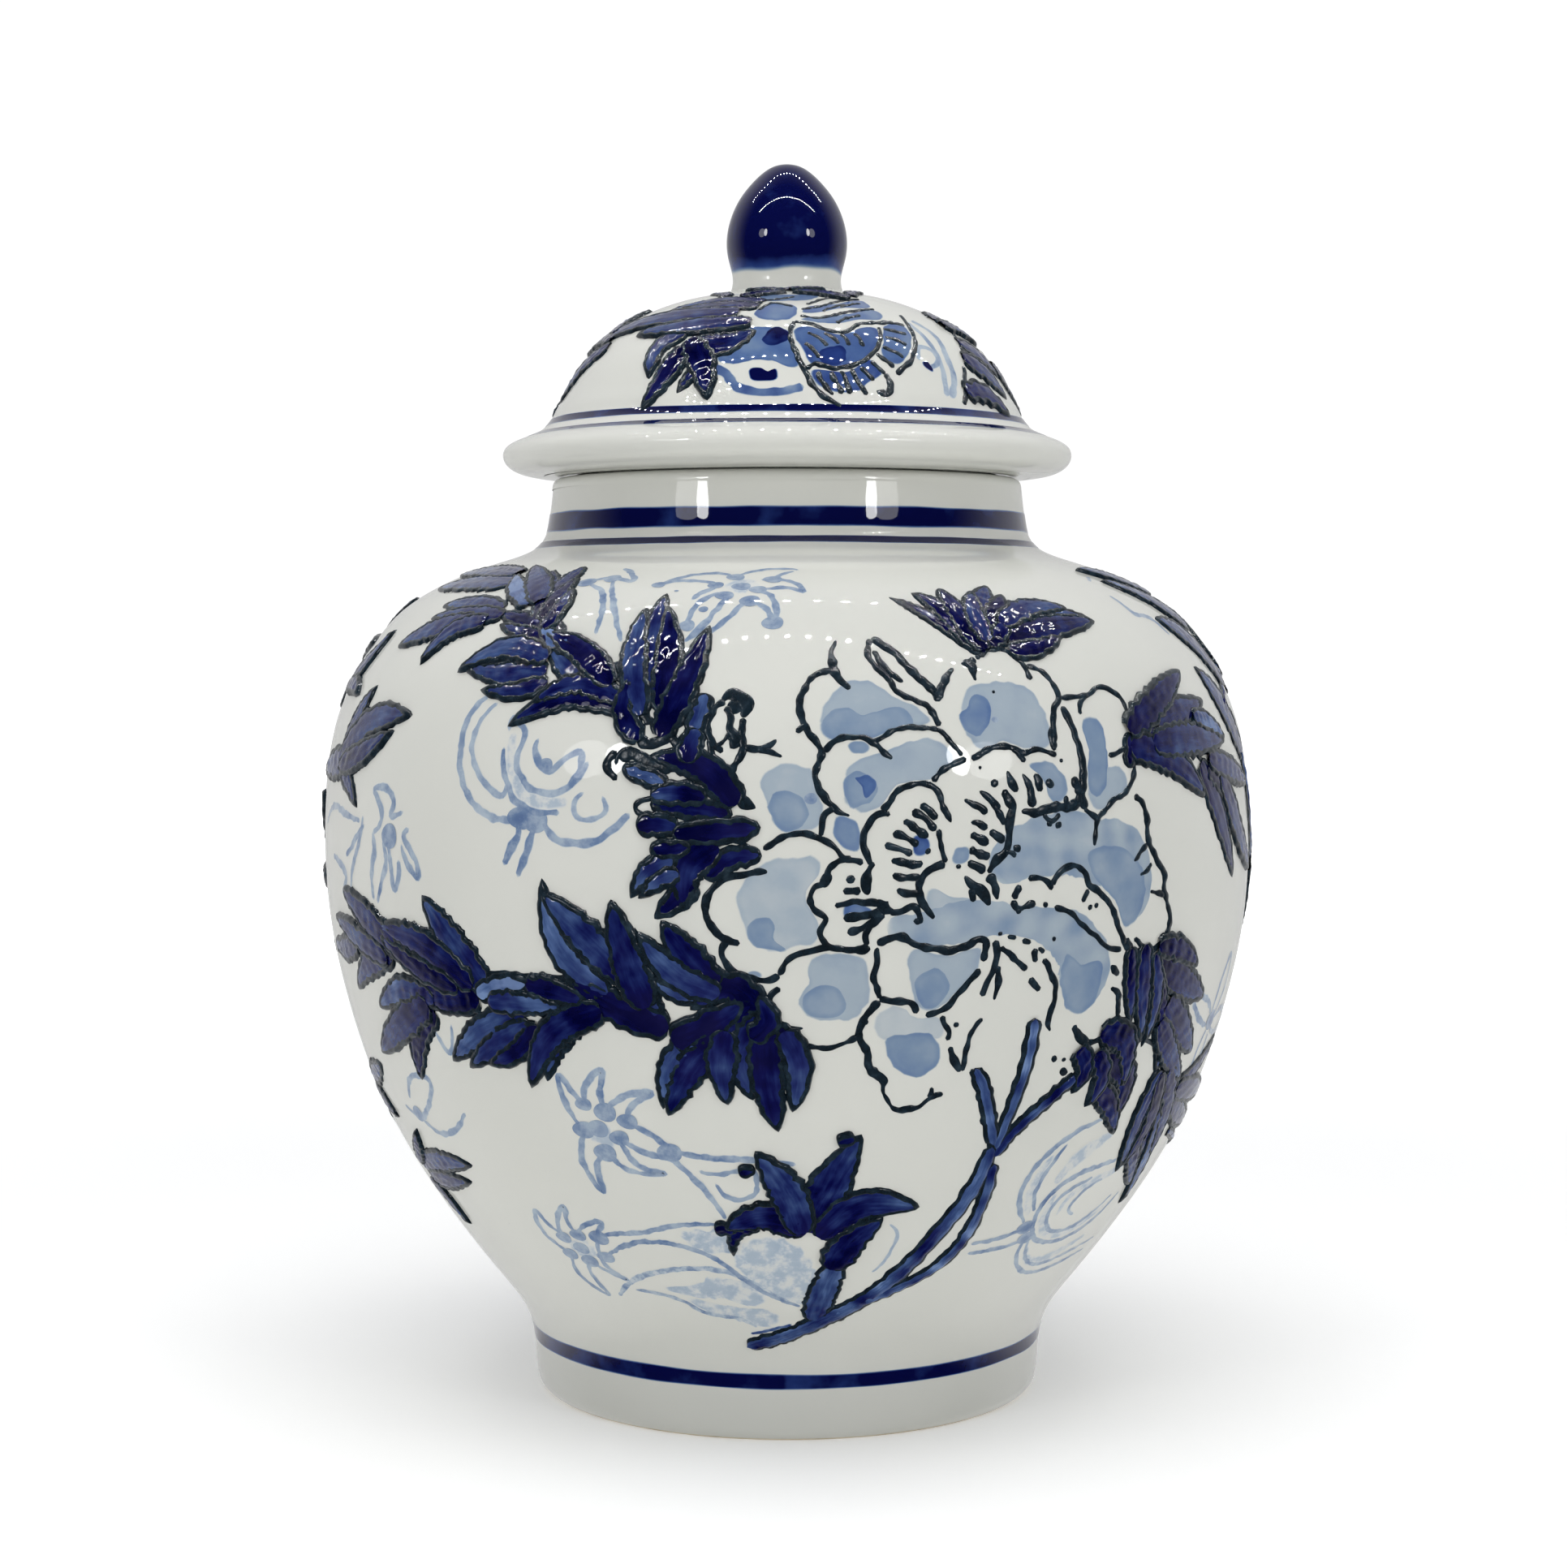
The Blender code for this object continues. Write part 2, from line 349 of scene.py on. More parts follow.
def finishHeap(name, heap, material, body, ownNormals=False, replaced=()):
    # one mesh from all grids of the heap, with points in one place merged and flat quads made triangles
    points = np.concatenate(heap["points"])
    quads = np.concatenate(heap["quads"])
    kept, first, back = np.unique(np.round(points, 8), axis=0, return_index=True, return_inverse=True)
    quads = back.reshape(-1)[quads]
    same = quads == np.roll(quads, -1, axis=1)
    whole = quads[~same.any(1)]
    bent = quads[same.sum(1) == 1]
    corners = bent[~same[same.sum(1) == 1]].reshape(-1, 3)
    loops = np.concatenate([whole.ravel(), corners.ravel()]).astype(np.int32)
    starts = np.concatenate([np.arange(len(whole)) * 4, len(whole) * 4 + np.arange(len(corners)) * 3]).astype(np.int32)
    mesh = bpy.data.meshes.new(name)
    mesh.vertices.add(len(kept))
    mesh.vertices.foreach_set("co", points[first].astype(np.float32).ravel())
    mesh.loops.add(len(loops))
    mesh.loops.foreach_set("vertex_index", loops)
    mesh.polygons.add(len(starts))
    mesh.polygons.foreach_set("loop_start", starts)
    mesh.polygons.foreach_set("use_smooth", np.ones(len(starts), bool))
    mesh.update(calc_edges=True)
    for key, value in heap["values"].items():
        data = np.concatenate(value)[first].astype(np.float32)
        mesh.attributes.new(key, "FLOAT", "POINT").data.foreach_set("value", data)
    mesh.materials.append(material)
    if ownNormals:
        mesh.normals_split_custom_set_from_vertices(np.concatenate(heap["normals"])[first].tolist())
    piece = bpy.data.objects.new(name, mesh)
    bpy.context.scene.collection.objects.link(piece)
    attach(piece, body)
    if replaced:
        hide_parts(*replaced)
    print(name, len(kept), "points")
    return piece


# the finishes of the pot

def paintedGlaze():
    # porcelain under a clear dipped glaze, with cobalt brushed on the biscuit. ink from 0, bare, to 1, a full
    # brush of cobalt; sponge breaks the ink up as a dabbed sponge does
    material, tree, shader = newMaterial("paintedGlaze")
    body = mixColour(tree, noiseNode(tree, 45.0, 3.0), linear("#cfd0c9"), linear("#d6d6cf"))
    speck = addNode(tree, "ShaderNodeTexVoronoi", {"feature": "F1"}, {
        "Vector": addNode(tree, "ShaderNodeTexCoord").outputs["Object"], "Scale": 1.0 / (13.0 * mm)})
    near = mathNode(tree, "LESS_THAN", speck.outputs["Distance"], 0.02)
    chosen = mathNode(tree, "GREATER_THAN", addNode(tree, "ShaderNodeSeparateColor", None, {
        0: speck.outputs["Color"]}).outputs[0], 0.72)
    body = mixColour(tree, mathNode(tree, "MULTIPLY", near, chosen), body, linear("#4c5260"))
    ink = attributeNode(tree, "ink")
    dabs = mathNode(tree, "MULTIPLY_ADD", noiseNode(tree, 2.6, 4.0, 0.62), 5.0, clamp=True)
    dabs.node.inputs[2].default_value = -2.05
    broken = mathNode(tree, "SUBTRACT", 1.0, mathNode(tree, "MULTIPLY", attributeNode(tree, "sponge"), dabs))
    ink = mathNode(tree, "MULTIPLY", ink, broken)
    brush = mathNode(tree, "MULTIPLY_ADD", noiseNode(tree, 5.0, 3.0), 0.5)
    brush.node.inputs[2].default_value = 0.75
    ink = mathNode(tree, "MULTIPLY", ink, brush, clamp=True)
    wash = rampNode(tree, ink, [(0.0, "#b2bbc1"), (0.24, "#9ba8b3"), (0.38, "#778ba3"), (0.55, "#4e6794"),
                                (0.75, "#263a76"), (1.0, "#070b3e")])
    brushed = rampNode(tree, ink, [(0.0, "#c0c8cf"), (0.3, "#a4b1be"), (0.45, "#8999ae"), (0.6, "#677c9c"),
                                   (0.8, "#3f5482"), (1.0, "#182858")])
    thin = mathNode(tree, "MULTIPLY", attributeNode(tree, "sponge"), 3.3, clamp=True)
    cobalt = mixColour(tree, thin, wash, brushed)
    cover = mathNode(tree, "MULTIPLY", ink, 4.5, clamp=True)
    tree.links.new(mixColour(tree, cover, body, cobalt), shader.inputs["Base Color"])
    rough = mathNode(tree, "MULTIPLY_ADD", noiseNode(tree, 20.0), 0.03)
    rough.node.inputs[2].default_value = 0.012
    tree.links.new(rough, shader.inputs["Roughness"])
    shader.inputs["IOR"].default_value = 1.5
    skinBump = addNode(tree, "ShaderNodeBump", None, {"Strength": 0.10, "Distance": 0.2 * mm,
                                                      "Height": noiseNode(tree, 7.0, 2.0)})
    fine = addNode(tree, "ShaderNodeBump", None, {"Strength": 0.05, "Distance": 0.03 * mm,
                                                  "Height": noiseNode(tree, 0.9, 2.0), "Normal": skinBump.outputs[0]})
    tree.links.new(fine.outputs[0], shader.inputs["Normal"])
    return material


def pooledCobalt():
    # thick glossy cobalt trailed into the leaves; depth from 0, thin and mid blue, to 1, pooled nearly black. along
    # and across are millimetres on the leaf, and draw the streaks that the trailing left
    material, tree, shader = newMaterial("pooledCobalt")
    flow = addNode(tree, "ShaderNodeCombineXYZ", None, {
        0: mathNode(tree, "MULTIPLY", attributeNode(tree, "along"), 0.2), 1: attributeNode(tree, "across")}).outputs[0]
    streak = addNode(tree, "ShaderNodeTexNoise", None, {
        "Vector": flow, "Scale": 0.85, "Detail": 3.0, "Roughness": 0.55}).outputs[0]
    uneven = mathNode(tree, "ADD", noiseNode(tree, 4.2, 2.0), streak)
    depth = mathNode(tree, "ADD", attributeNode(tree, "depth"), mathNode(tree, "MULTIPLY_ADD", uneven, 0.62))
    depth.node.inputs[1].links[0].from_node.inputs[2].default_value = -0.62
    colour = rampNode(tree, depth, [(0.0, "#6f86ae"), (0.2, "#4a608c"), (0.42, "#31436f"), (0.62, "#1b2658"),
                                    (0.82, "#090c40"), (1.0, "#03042c")])
    violet = mathNode(tree, "MULTIPLY_ADD", noiseNode(tree, 14.0), 2.6, clamp=True)
    violet.node.inputs[2].default_value = -1.25
    colour = mixColour(tree, mathNode(tree, "MULTIPLY", violet, 0.4), colour, linear("#2c2a5c"))
    tree.links.new(colour, shader.inputs["Base Color"])
    shader.inputs["Roughness"].default_value = 0.035
    shader.inputs["IOR"].default_value = 1.46
    bump = addNode(tree, "ShaderNodeBump", None, {"Strength": 0.22, "Distance": 0.22 * mm, "Height": streak})
    tree.links.new(bump.outputs[0], shader.inputs["Normal"])
    return material


def ironLine():
    # the raised blue-black line, a thick manganese and cobalt slip that dries a little satin
    material, tree, shader = newMaterial("ironLine")
    colour = rampNode(tree, noiseNode(tree, 2.4, 4.0, 0.6), [(0.3, "#0c161d"), (0.55, "#16242e"), (0.75, "#2a3a45")])
    tree.links.new(colour, shader.inputs["Base Color"])
    rough = mathNode(tree, "MULTIPLY_ADD", noiseNode(tree, 1.5, 2.0), 0.2)
    rough.node.inputs[2].default_value = 0.12
    tree.links.new(rough, shader.inputs["Roughness"])
    bump = addNode(tree, "ShaderNodeBump", None, {"Strength": 0.4, "Distance": 0.15 * mm,
                                                  "Height": noiseNode(tree, 0.9, 3.0)})
    tree.links.new(bump.outputs[0], shader.inputs["Normal"])
    return material


def bareBiscuit():
    # fired clay left unglazed where the pot meets the kiln shelf, fine sanded grain
    material, tree, shader = newMaterial("bareBiscuit")
    colour = rampNode(tree, noiseNode(tree, 6.0, 4.0, 0.65), [(0.25, "#b5a88f"), (0.55, "#cfc6b2"), (0.8, "#dbd4c4")])
    tree.links.new(colour, shader.inputs["Base Color"])
    shader.inputs["Roughness"].default_value = 0.82
    bump = addNode(tree, "ShaderNodeBump", None, {"Strength": 0.5, "Distance": 0.08 * mm,
                                                  "Height": noiseNode(tree, 0.5, 3.0)})
    tree.links.new(bump.outputs[0], shader.inputs["Normal"])
    return material


painted = paintedGlaze()
cobaltPad = pooledCobalt()
blackLine = ironLine()
biscuit = bareBiscuit()
print("finishes")


# the pot itself: outlines of radius and height in millimetres

jarShape = {
    "around": 440, "insideAround": 220,
    "rows": {"outer": 205, "rim": 20, "inner": 120, "under": 50, "standing": 24},
    "outer": [(51.5, 0.5), (52.3, 1.5), (52.7, 3.0), (53.0, 6.0), (53.2, 9.5), (53.55, 12.4), (54.3, 14.8),
              (55.7, 18.0), (57.4, 20.6), (60.2, 24.2), (64.8, 30.0), (69.3, 36.0), (77.4, 48.0), (83.8, 60.0),
              (88.5, 72.0), (92.0, 84.0), (94.55, 96.0), (95.85, 108.0), (96.0, 119.0), (95.2, 131.0),
              (93.7, 138.5), (91.9, 144.0), (89.2, 150.0), (85.2, 156.0), (80.6, 161.4), (74.5, 165.8),
              (67.6, 169.2), (60.2, 171.9), (54.6, 173.8), (51.7, 175.6), (50.4, 177.6), (49.7, 180.5),
              (49.2, 184.0), (48.9, 187.0)],
    "rim": [(48.9, 187.0), (48.8, 188.0), (48.3, 188.9), (47.3, 189.35), (46.4, 189.4), (45.2, 189.2), (44.5, 188.5),
            (44.3, 187.4)],
    "inner": [(44.3, 187.4), (44.3, 181.0), (44.6, 177.4), (46.8, 174.0), (52.0, 170.6), (61.0, 166.6), (71.0, 161.5),
              (80.5, 153.0), (87.6, 142.5), (91.2, 130.5), (92.0, 115.0), (90.6, 96.8), (86.6, 79.2), (80.2, 61.8),
              (73.8, 50.4), (65.8, 38.6), (57.0, 27.0), (51.0, 19.4), (45.0, 15.0), (34.0, 13.8), (12.0, 13.6),
              (0.0, 13.6)],
    "under": [(0.0, 8.0), (12.0, 8.0), (34.0, 8.0), (42.5, 7.4), (44.8, 5.4), (45.3, 2.6), (45.9, 1.0), (46.8, 0.2)],
    "standing": [(46.8, 0.2), (47.4, 0.0), (49.0, 0.0), (50.6, 0.0), (51.5, 0.5)],
}
jarSkin = makeSkin(jarShape["outer"], 96.0, 115.0, 0.07)

lidShape = {
    "around": 384, "insideAround": 240, "rows": {"outer": 150, "under": 150},
    "outer": [(50.6, 189.75), (53.4, 190.0), (56.6, 190.8), (58.4, 192.1), (59.15, 193.7), (58.9, 195.2), (57.3, 196.6),
              (54.6, 197.7), (52.0, 198.8), (50.2, 200.2), (49.0, 201.8), (48.1, 203.6), (46.7, 206.0), (44.7, 209.8),
              (41.9, 214.0), (38.1, 217.8), (32.6, 221.6), (26.8, 224.3), (20.6, 226.2), (14.6, 227.4), (11.6, 228.2)],
    "under": [(50.6, 189.75), (46.0, 189.7), (42.6, 189.65), (42.3, 188.6), (42.3, 182.0), (42.2, 178.7), (41.4, 177.6),
              (40.2, 177.5), (39.2, 178.4), (38.9, 181.0), (38.9, 188.0), (39.6, 194.0), (42.0, 198.8), (42.6, 202.0),
              (41.2, 206.4), (38.8, 210.6), (34.0, 214.9), (26.4, 219.0), (16.0, 221.8), (6.0, 223.2), (0.0, 223.5)],
}
lidSkin = makeSkin(lidShape["outer"], 48.0, 200.0, 0.05)

knobShape = {
    "around": 160, "rows": {"outer": 120},
    "outer": [(11.7, 228.1), (11.35, 229.6), (11.3, 231.2), (11.7, 233.2), (12.3, 235.6), (12.55, 238.4),
              (12.25, 241.2), (11.3, 244.4), (9.8, 247.4), (7.5, 250.4), (5.0, 252.8), (2.6, 254.2), (0.0, 254.7)],
    "dipLine": 231.5, "dipSoftness": 1.3,
}


def turnedGrid(outline, rows, around, skin=None):
    # an outline carried round the axis; pieces that show outside share the skin's unevenness
    line = throughPoints(outline, rows)
    turn = np.linspace(0.0, 2.0 * np.pi, around, endpoint=False)[None, :]
    r, z = np.maximum(line[:, :1], 0.0), line[:, 1:]
    dr, dz = np.gradient(line[:, 0])[:, None], np.gradient(line[:, 1])[:, None]
    size = np.hypot(dr, dz)
    uneven = 0.0 if skin is None else handThrown(skin, turn, z)
    r, z = r + uneven * dz / size * (r > 0.01), z - uneven * dr / size
    points = np.stack([r * np.sin(turn), -r * np.cos(turn), z * np.ones_like(turn)], -1) * mm
    ahead = np.stack([dz / size * np.sin(turn), -dz / size * np.cos(turn), -dr / size * np.ones_like(turn)], -1)
    return points, ahead


def makeJar():
    # the turned wall, the rim and inside, the recess under the floor, and the bare ring it stands on
    rows, around = jarShape["rows"], jarShape["around"]
    outer = newHeap()
    points, ahead = turnedGrid(jarShape["outer"], rows["outer"], around, jarSkin)
    addGrid(outer, points, ahead, True, ink=0.0, sponge=0.0)
    finishHeap("jarGlaze", outer, painted, "jar", replaced=("jar_body", "foot_ring"))
    inside = newHeap()
    points, ahead = turnedGrid(jarShape["rim"], rows["rim"], around)
    addGrid(inside, points, ahead, True, ink=0.0, sponge=0.0)
    points, ahead = turnedGrid(jarShape["inner"], rows["inner"], jarShape["insideAround"])
    addGrid(inside, points, ahead, True, ink=0.0, sponge=0.0)
    finishHeap("jarInsideGlaze", inside, painted, "jar")
    under = newHeap()
    points, ahead = turnedGrid(jarShape["under"], rows["under"], jarShape["insideAround"])
    addGrid(under, points, -ahead, True, ink=0.0, sponge=0.0)
    finishHeap("footRecessGlaze", under, painted, "jar")
    standing = newHeap()
    points = turnedGrid(jarShape["standing"], rows["standing"], around)[0]
    addGrid(standing, points, np.array([0.0, 0.0, -1.0]), True)
    finishHeap("footStandingRing", standing, biscuit, "jar")


def makeLid():
    # the dome and brim, the underside with its ring, and the knob, dipped in cobalt down to a wavy line
    rows = lidShape["rows"]
    outer = newHeap()
    points, ahead = turnedGrid(lidShape["outer"], rows["outer"], lidShape["around"], lidSkin)
    addGrid(outer, points, ahead, True, ink=0.0, sponge=0.0)
    finishHeap("lidGlaze", outer, painted, "lid", replaced=("lid_shell",))
    under = newHeap()
    points, ahead = turnedGrid(lidShape["under"], rows["under"], lidShape["insideAround"])
    addGrid(under, points, -ahead, True, ink=0.0, sponge=0.0)
    finishHeap("lidUnderside", under, painted, "lid", replaced=("lid_locating_ring",))
    knob = newHeap()
    points, ahead = turnedGrid(knobShape["outer"], knobShape["rows"]["outer"], knobShape["around"])
    z = points[..., 2] / mm
    turn = np.linspace(0.0, 2.0 * np.pi, knobShape["around"], endpoint=False)[None, :]
    line = knobShape["dipLine"] + 0.25 * np.sin(3 * turn) + 0.15 * np.sin(7 * turn + 1.0)
    ink = smoothStep((z - line) / knobShape["dipSoftness"]) * 0.72 + 0.33 * smoothStep((z - line - 0.6) / 3.6)
    addGrid(knob, points, ahead, True, ink=ink, sponge=0.0)
    finishHeap("lidKnobGlaze", knob, painted, "lid", replaced=("lid_knob",))


makeJar()
makeLid()


# painted and trailed marks, all drawn in the design plane in millimetres

def strokePath(points, width, step, seed, waver):
    # a hand-drawn path: the spline, pushed aside a little, with the brush width at each place
    p = np.array([list(q) + [width] * (3 - len(q)) for q in points], float)
    length = np.sum(np.hypot(*np.diff(p[:, :2], axis=0).T))
    count = max(6, int(length / step) + 2)
    path = throughPoints(p, count)
    ahead = np.gradient(path[:, :2], axis=0)
    ahead /= np.maximum(np.hypot(ahead[:, 0], ahead[:, 1]), 1e-9)[:, None]
    side = np.stack([-ahead[:, 1], ahead[:, 0]], 1)
    gone = np.concatenate([[0.0], np.cumsum(np.hypot(*np.diff(path[:, :2], axis=0).T))])
    path[:, :2] += side * (waver * waves(path[:, 0], path[:, 1], 4.0, seed))[:, None]
    half = np.maximum(path[:, 2], 0.15) * 0.5 * (1.0 + 1.4 * waver * waves(path[:, 0], path[:, 1], 2.6, seed + 1))
    left = np.minimum(gone, gone[-1] - gone)
    cap = np.sqrt(np.clip(1.0 - (1.0 - np.minimum(left / np.maximum(half, 0.05), 1.0)) ** 2, 0.0, 1.0))
    return path[:, :2], side, half * cap, gone


def addRidge(heap, skin, points, width, height, seed=1, waver=0.12, shift=0.0, step=0.38):
    # a half-round bead of slip carried along a path; its edges go just under the glaze
    path, side, half = strokePath(points, width, step, seed, waver)[:3]
    turn = np.linspace(-0.5 * np.pi, 0.5 * np.pi, 8)[None, :]
    x = path[:, :1] + side[:, :1] * half[:, None] * np.sin(turn) + shift
    y = path[:, 1:] + side[:, 1:] * half[:, None] * np.sin(turn)
    full = np.minimum(half[:, None] / (0.5 * width), 1.4)
    lift = height * full * np.cos(turn) ** 0.8 * (1.0 + 0.22 * waves(x, y, 2.2, seed + 2)) - 0.03
    addGrid(heap, place(skin, x, y, lift), skinNormal(skin, x, y))


def inkLift(ink):
    # darker ink lies a little higher, so that where two marks cross the darker one shows
    return 0.022 + 0.075 * ink


def addBrush(heap, skin, points, width, ink, seed=1, waver=0.12, shift=0.0, step=0.7, feather=0.3, sponge=0.0):
    # a flat brushed line or band; its edge fades into the bare glaze over the feather
    path, side, half = strokePath(points, width, step, seed, waver)[:3]
    widest = half.max()
    soft = min(feather / widest, 0.5)
    inner = np.linspace(0.0, 1.0 - 2.0 * soft, max(2, int(widest / 0.8)))
    arm = np.concatenate([inner, 1.0 - soft * np.array([1.5, 1.0, 0.5, 0.0])])
    strength = smoothStep((1.0 - arm) / soft)
    v = np.concatenate([-arm[:0:-1], arm])[None, :]
    strength = np.concatenate([strength[:0:-1], strength])[None, :]
    x = path[:, :1] + side[:, :1] * half[:, None] * v + shift
    y = path[:, 1:] + side[:, 1:] * half[:, None] * v
    tone = ink * strength * (1.0 + 0.2 * waves(x, y, 7.0, seed + 3))
    tone = tone * smoothStep(half / (widest * 0.45))[:, None]
    normals = skinNormal(skin, x, y)
    addGrid(heap, place(skin, x, y, inkLift(tone)), normals, normals=normals, ink=tone, sponge=sponge)


def addWash(heap, skin, outline, ink, seed=1, shift=0.0, feather=0.35, sponge=0.0, ragged=0.25, pool=0.12):
    # a flat patch of ink: rings from the outline in to the middle, a little darker along the rim where it dried
    edge = np.asarray(outline, float)
    around = int(np.clip(np.sum(np.hypot(*np.diff(edge, axis=0).T)) / 0.8, 28, 140))
    edge = closedThrough(edge, around)
    centre = edge.mean(0)
    out = edge - centre
    reach = np.hypot(out[:, 0], out[:, 1])
    edge = centre + out * (1.0 + ragged * waves(edge[:, 0], edge[:, 1], 3.5, seed) / reach)[:, None]
    soft = feather / reach.mean()
    rings = np.unique(np.concatenate([[0.0, 0.5 * soft, soft, 2 * soft, 4 * soft],
                                      np.linspace(4 * soft, 1.0, max(4, int(reach.max() / 1.1)))]))[:, None]
    x = edge[None, :, 0] * (1 - rings) + centre[0] * rings + shift
    y = edge[None, :, 1] * (1 - rings) + centre[1] * rings
    level = smoothStep(rings / soft) + pool * np.exp(-((rings - 1.5 * soft) / (1.2 * soft)) ** 2)
    tone = ink * level * (1.0 + 0.08 * waves(x, y, 9.0, seed + 4))
    normals = skinNormal(skin, x, y)
    addGrid(heap, place(skin, x, y, inkLift(tone)), normals, True, normals=normals, ink=tone, sponge=sponge)


def lobePath(lobe, rows, rootRun, tipRun):
    # middle line of a lobe from its root to its tip through its bend, run on a little at both ends
    x0, y0, x1, y1, x2, y2 = lobe[:6]
    line = throughPoints([(x0, y0), (x1, y1), (x2, y2)], rows)
    ahead = np.gradient(line, axis=0)
    ahead /= np.hypot(ahead[:, 0], ahead[:, 1])[:, None]
    run = np.linspace(0.0, 1.0, rows)[:, None]
    return line + ahead * (tipRun * run ** 3 - rootRun * (1.0 - run)), np.stack([-ahead[:, 1], ahead[:, 0]], 1)


def lobeWidth(rows, pointed):
    # pointed lobes swell early and run to a point, round pads are nearly even
    u = np.linspace(0.0, 1.0, rows)
    if pointed:
        half = (1.0 - u) ** 0.62 * (u + 0.06) ** 0.42
        return half / half.max()
    return (1.0 - np.abs(2.0 * u - 1.0) ** 2.6) ** 0.5


leafMake = {"rows": 34, "bead": 1.65, "beadTop": 0.42, "bed": 0.14, "fillEdge": 0.26, "crown": 0.24, "rootRun": 0.7,
            "tipRun": 2.2, "stack": 0.15, "ragged": 0.1, "lineHeight": 0.28}


def addLobe(pads, seats, skin, lobe, seed, pointed=True, shift=0.0):
    # a leaf lobe: a black slip bed with a bead along its rim, and a crowned pad of cobalt run inside the bead.
    # later lobes of a leaf stand a little higher, so each covers the one before it
    width, depth = lobe[6], lobe[7]
    rows, bead = leafMake["rows"], leafMake["bead"]
    base = leafMake["stack"] * (seed % 4)
    u = np.linspace(0.0, 1.0, rows)[:, None]
    path, side = lobePath(lobe, rows, leafMake["rootRun"], leafMake["tipRun"] if pointed else leafMake["rootRun"])
    half = 0.5 * width * lobeWidth(rows, pointed)[:, None]
    border = (1.0 - u ** 5) if pointed else (1.0 - np.abs(2.0 * u - 1.0) ** 8) ** 0.5
    half = half + 0.45 * bead * border * smoothStep(u / 0.06) ** 0.5
    half = half * (1.0 + leafMake["ragged"] * waves(path[:, :1], path[:, 1:], 2.2, seed))

    inside = np.array([0.0, 0.08, 0.25, 0.5, 0.75, 1.0])[None, :] * bead
    spread = np.concatenate([np.minimum(inside, 0.8 * half), half * 0.9, half], 1)
    depthIn = np.concatenate([spread, spread[:, -2::-1]], 1)
    sign = np.concatenate([-np.ones(8), np.ones(7)])[None, :]
    reach = sign * (half - depthIn)
    x, y = path[:, :1] + side[:, :1] * reach + shift, path[:, 1:] + side[:, 1:] * reach
    full = np.minimum(half / (0.7 * bead), 1.0)
    roundTop = np.sqrt(np.clip(1.0 - (depthIn / (0.5 * bead) - 1.0) ** 2, 0.0, 1.0))
    height = np.where(depthIn < 0.5 * bead, leafMake["beadTop"] * roundTop,
                      leafMake["bed"] + (leafMake["beadTop"] - leafMake["bed"]) * roundTop)
    slip = height * (1.0 + 0.2 * waves(x, y, 1.8, seed + 5))
    lift = (slip + base * np.minimum(depthIn / (0.3 * bead), 1.0)) * full - 0.03
    addGrid(seats, place(skin, x, y, lift), skinNormal(skin, x, y))

    v = np.sin(np.linspace(-0.5 * np.pi, 0.5 * np.pi, 13))[None, :]
    inner = np.maximum(half - 0.5 * bead, 0.0)
    reach = inner * v
    x, y = path[:, :1] + side[:, :1] * reach + shift, path[:, 1:] + side[:, 1:] * reach
    fold = 0.1 * np.exp(-(v / 0.14) ** 2) * smoothStep((width - 3.6) / 1.5) * float(pointed)
    crown = leafMake["crown"] * (1.0 - np.abs(v) ** 2.4) * np.minimum(inner / 1.2, 1.0)
    swell = crown * (1.0 + 0.35 * waves(x, y, 2.4, seed + 7))
    lift = (base + leafMake["fillEdge"]) * np.minimum(full, 1.0) - 0.05 + swell - fold
    tone = depth + 0.14 - 0.34 * u + 0.1 * waves(x, y, 7.0, seed + 8) - 0.1 * np.abs(v) ** 3
    along = u * math.hypot(lobe[4] - lobe[0], lobe[5] - lobe[1]) + 37.0 * seed
    addGrid(pads, place(skin, x, y, lift), skinNormal(skin, x, y), depth=tone, along=along, across=reach)


backTurn = math.pi * jarSkin["radius"]     # the same design again on the back, half a turn round

# the peony and the bud beside it

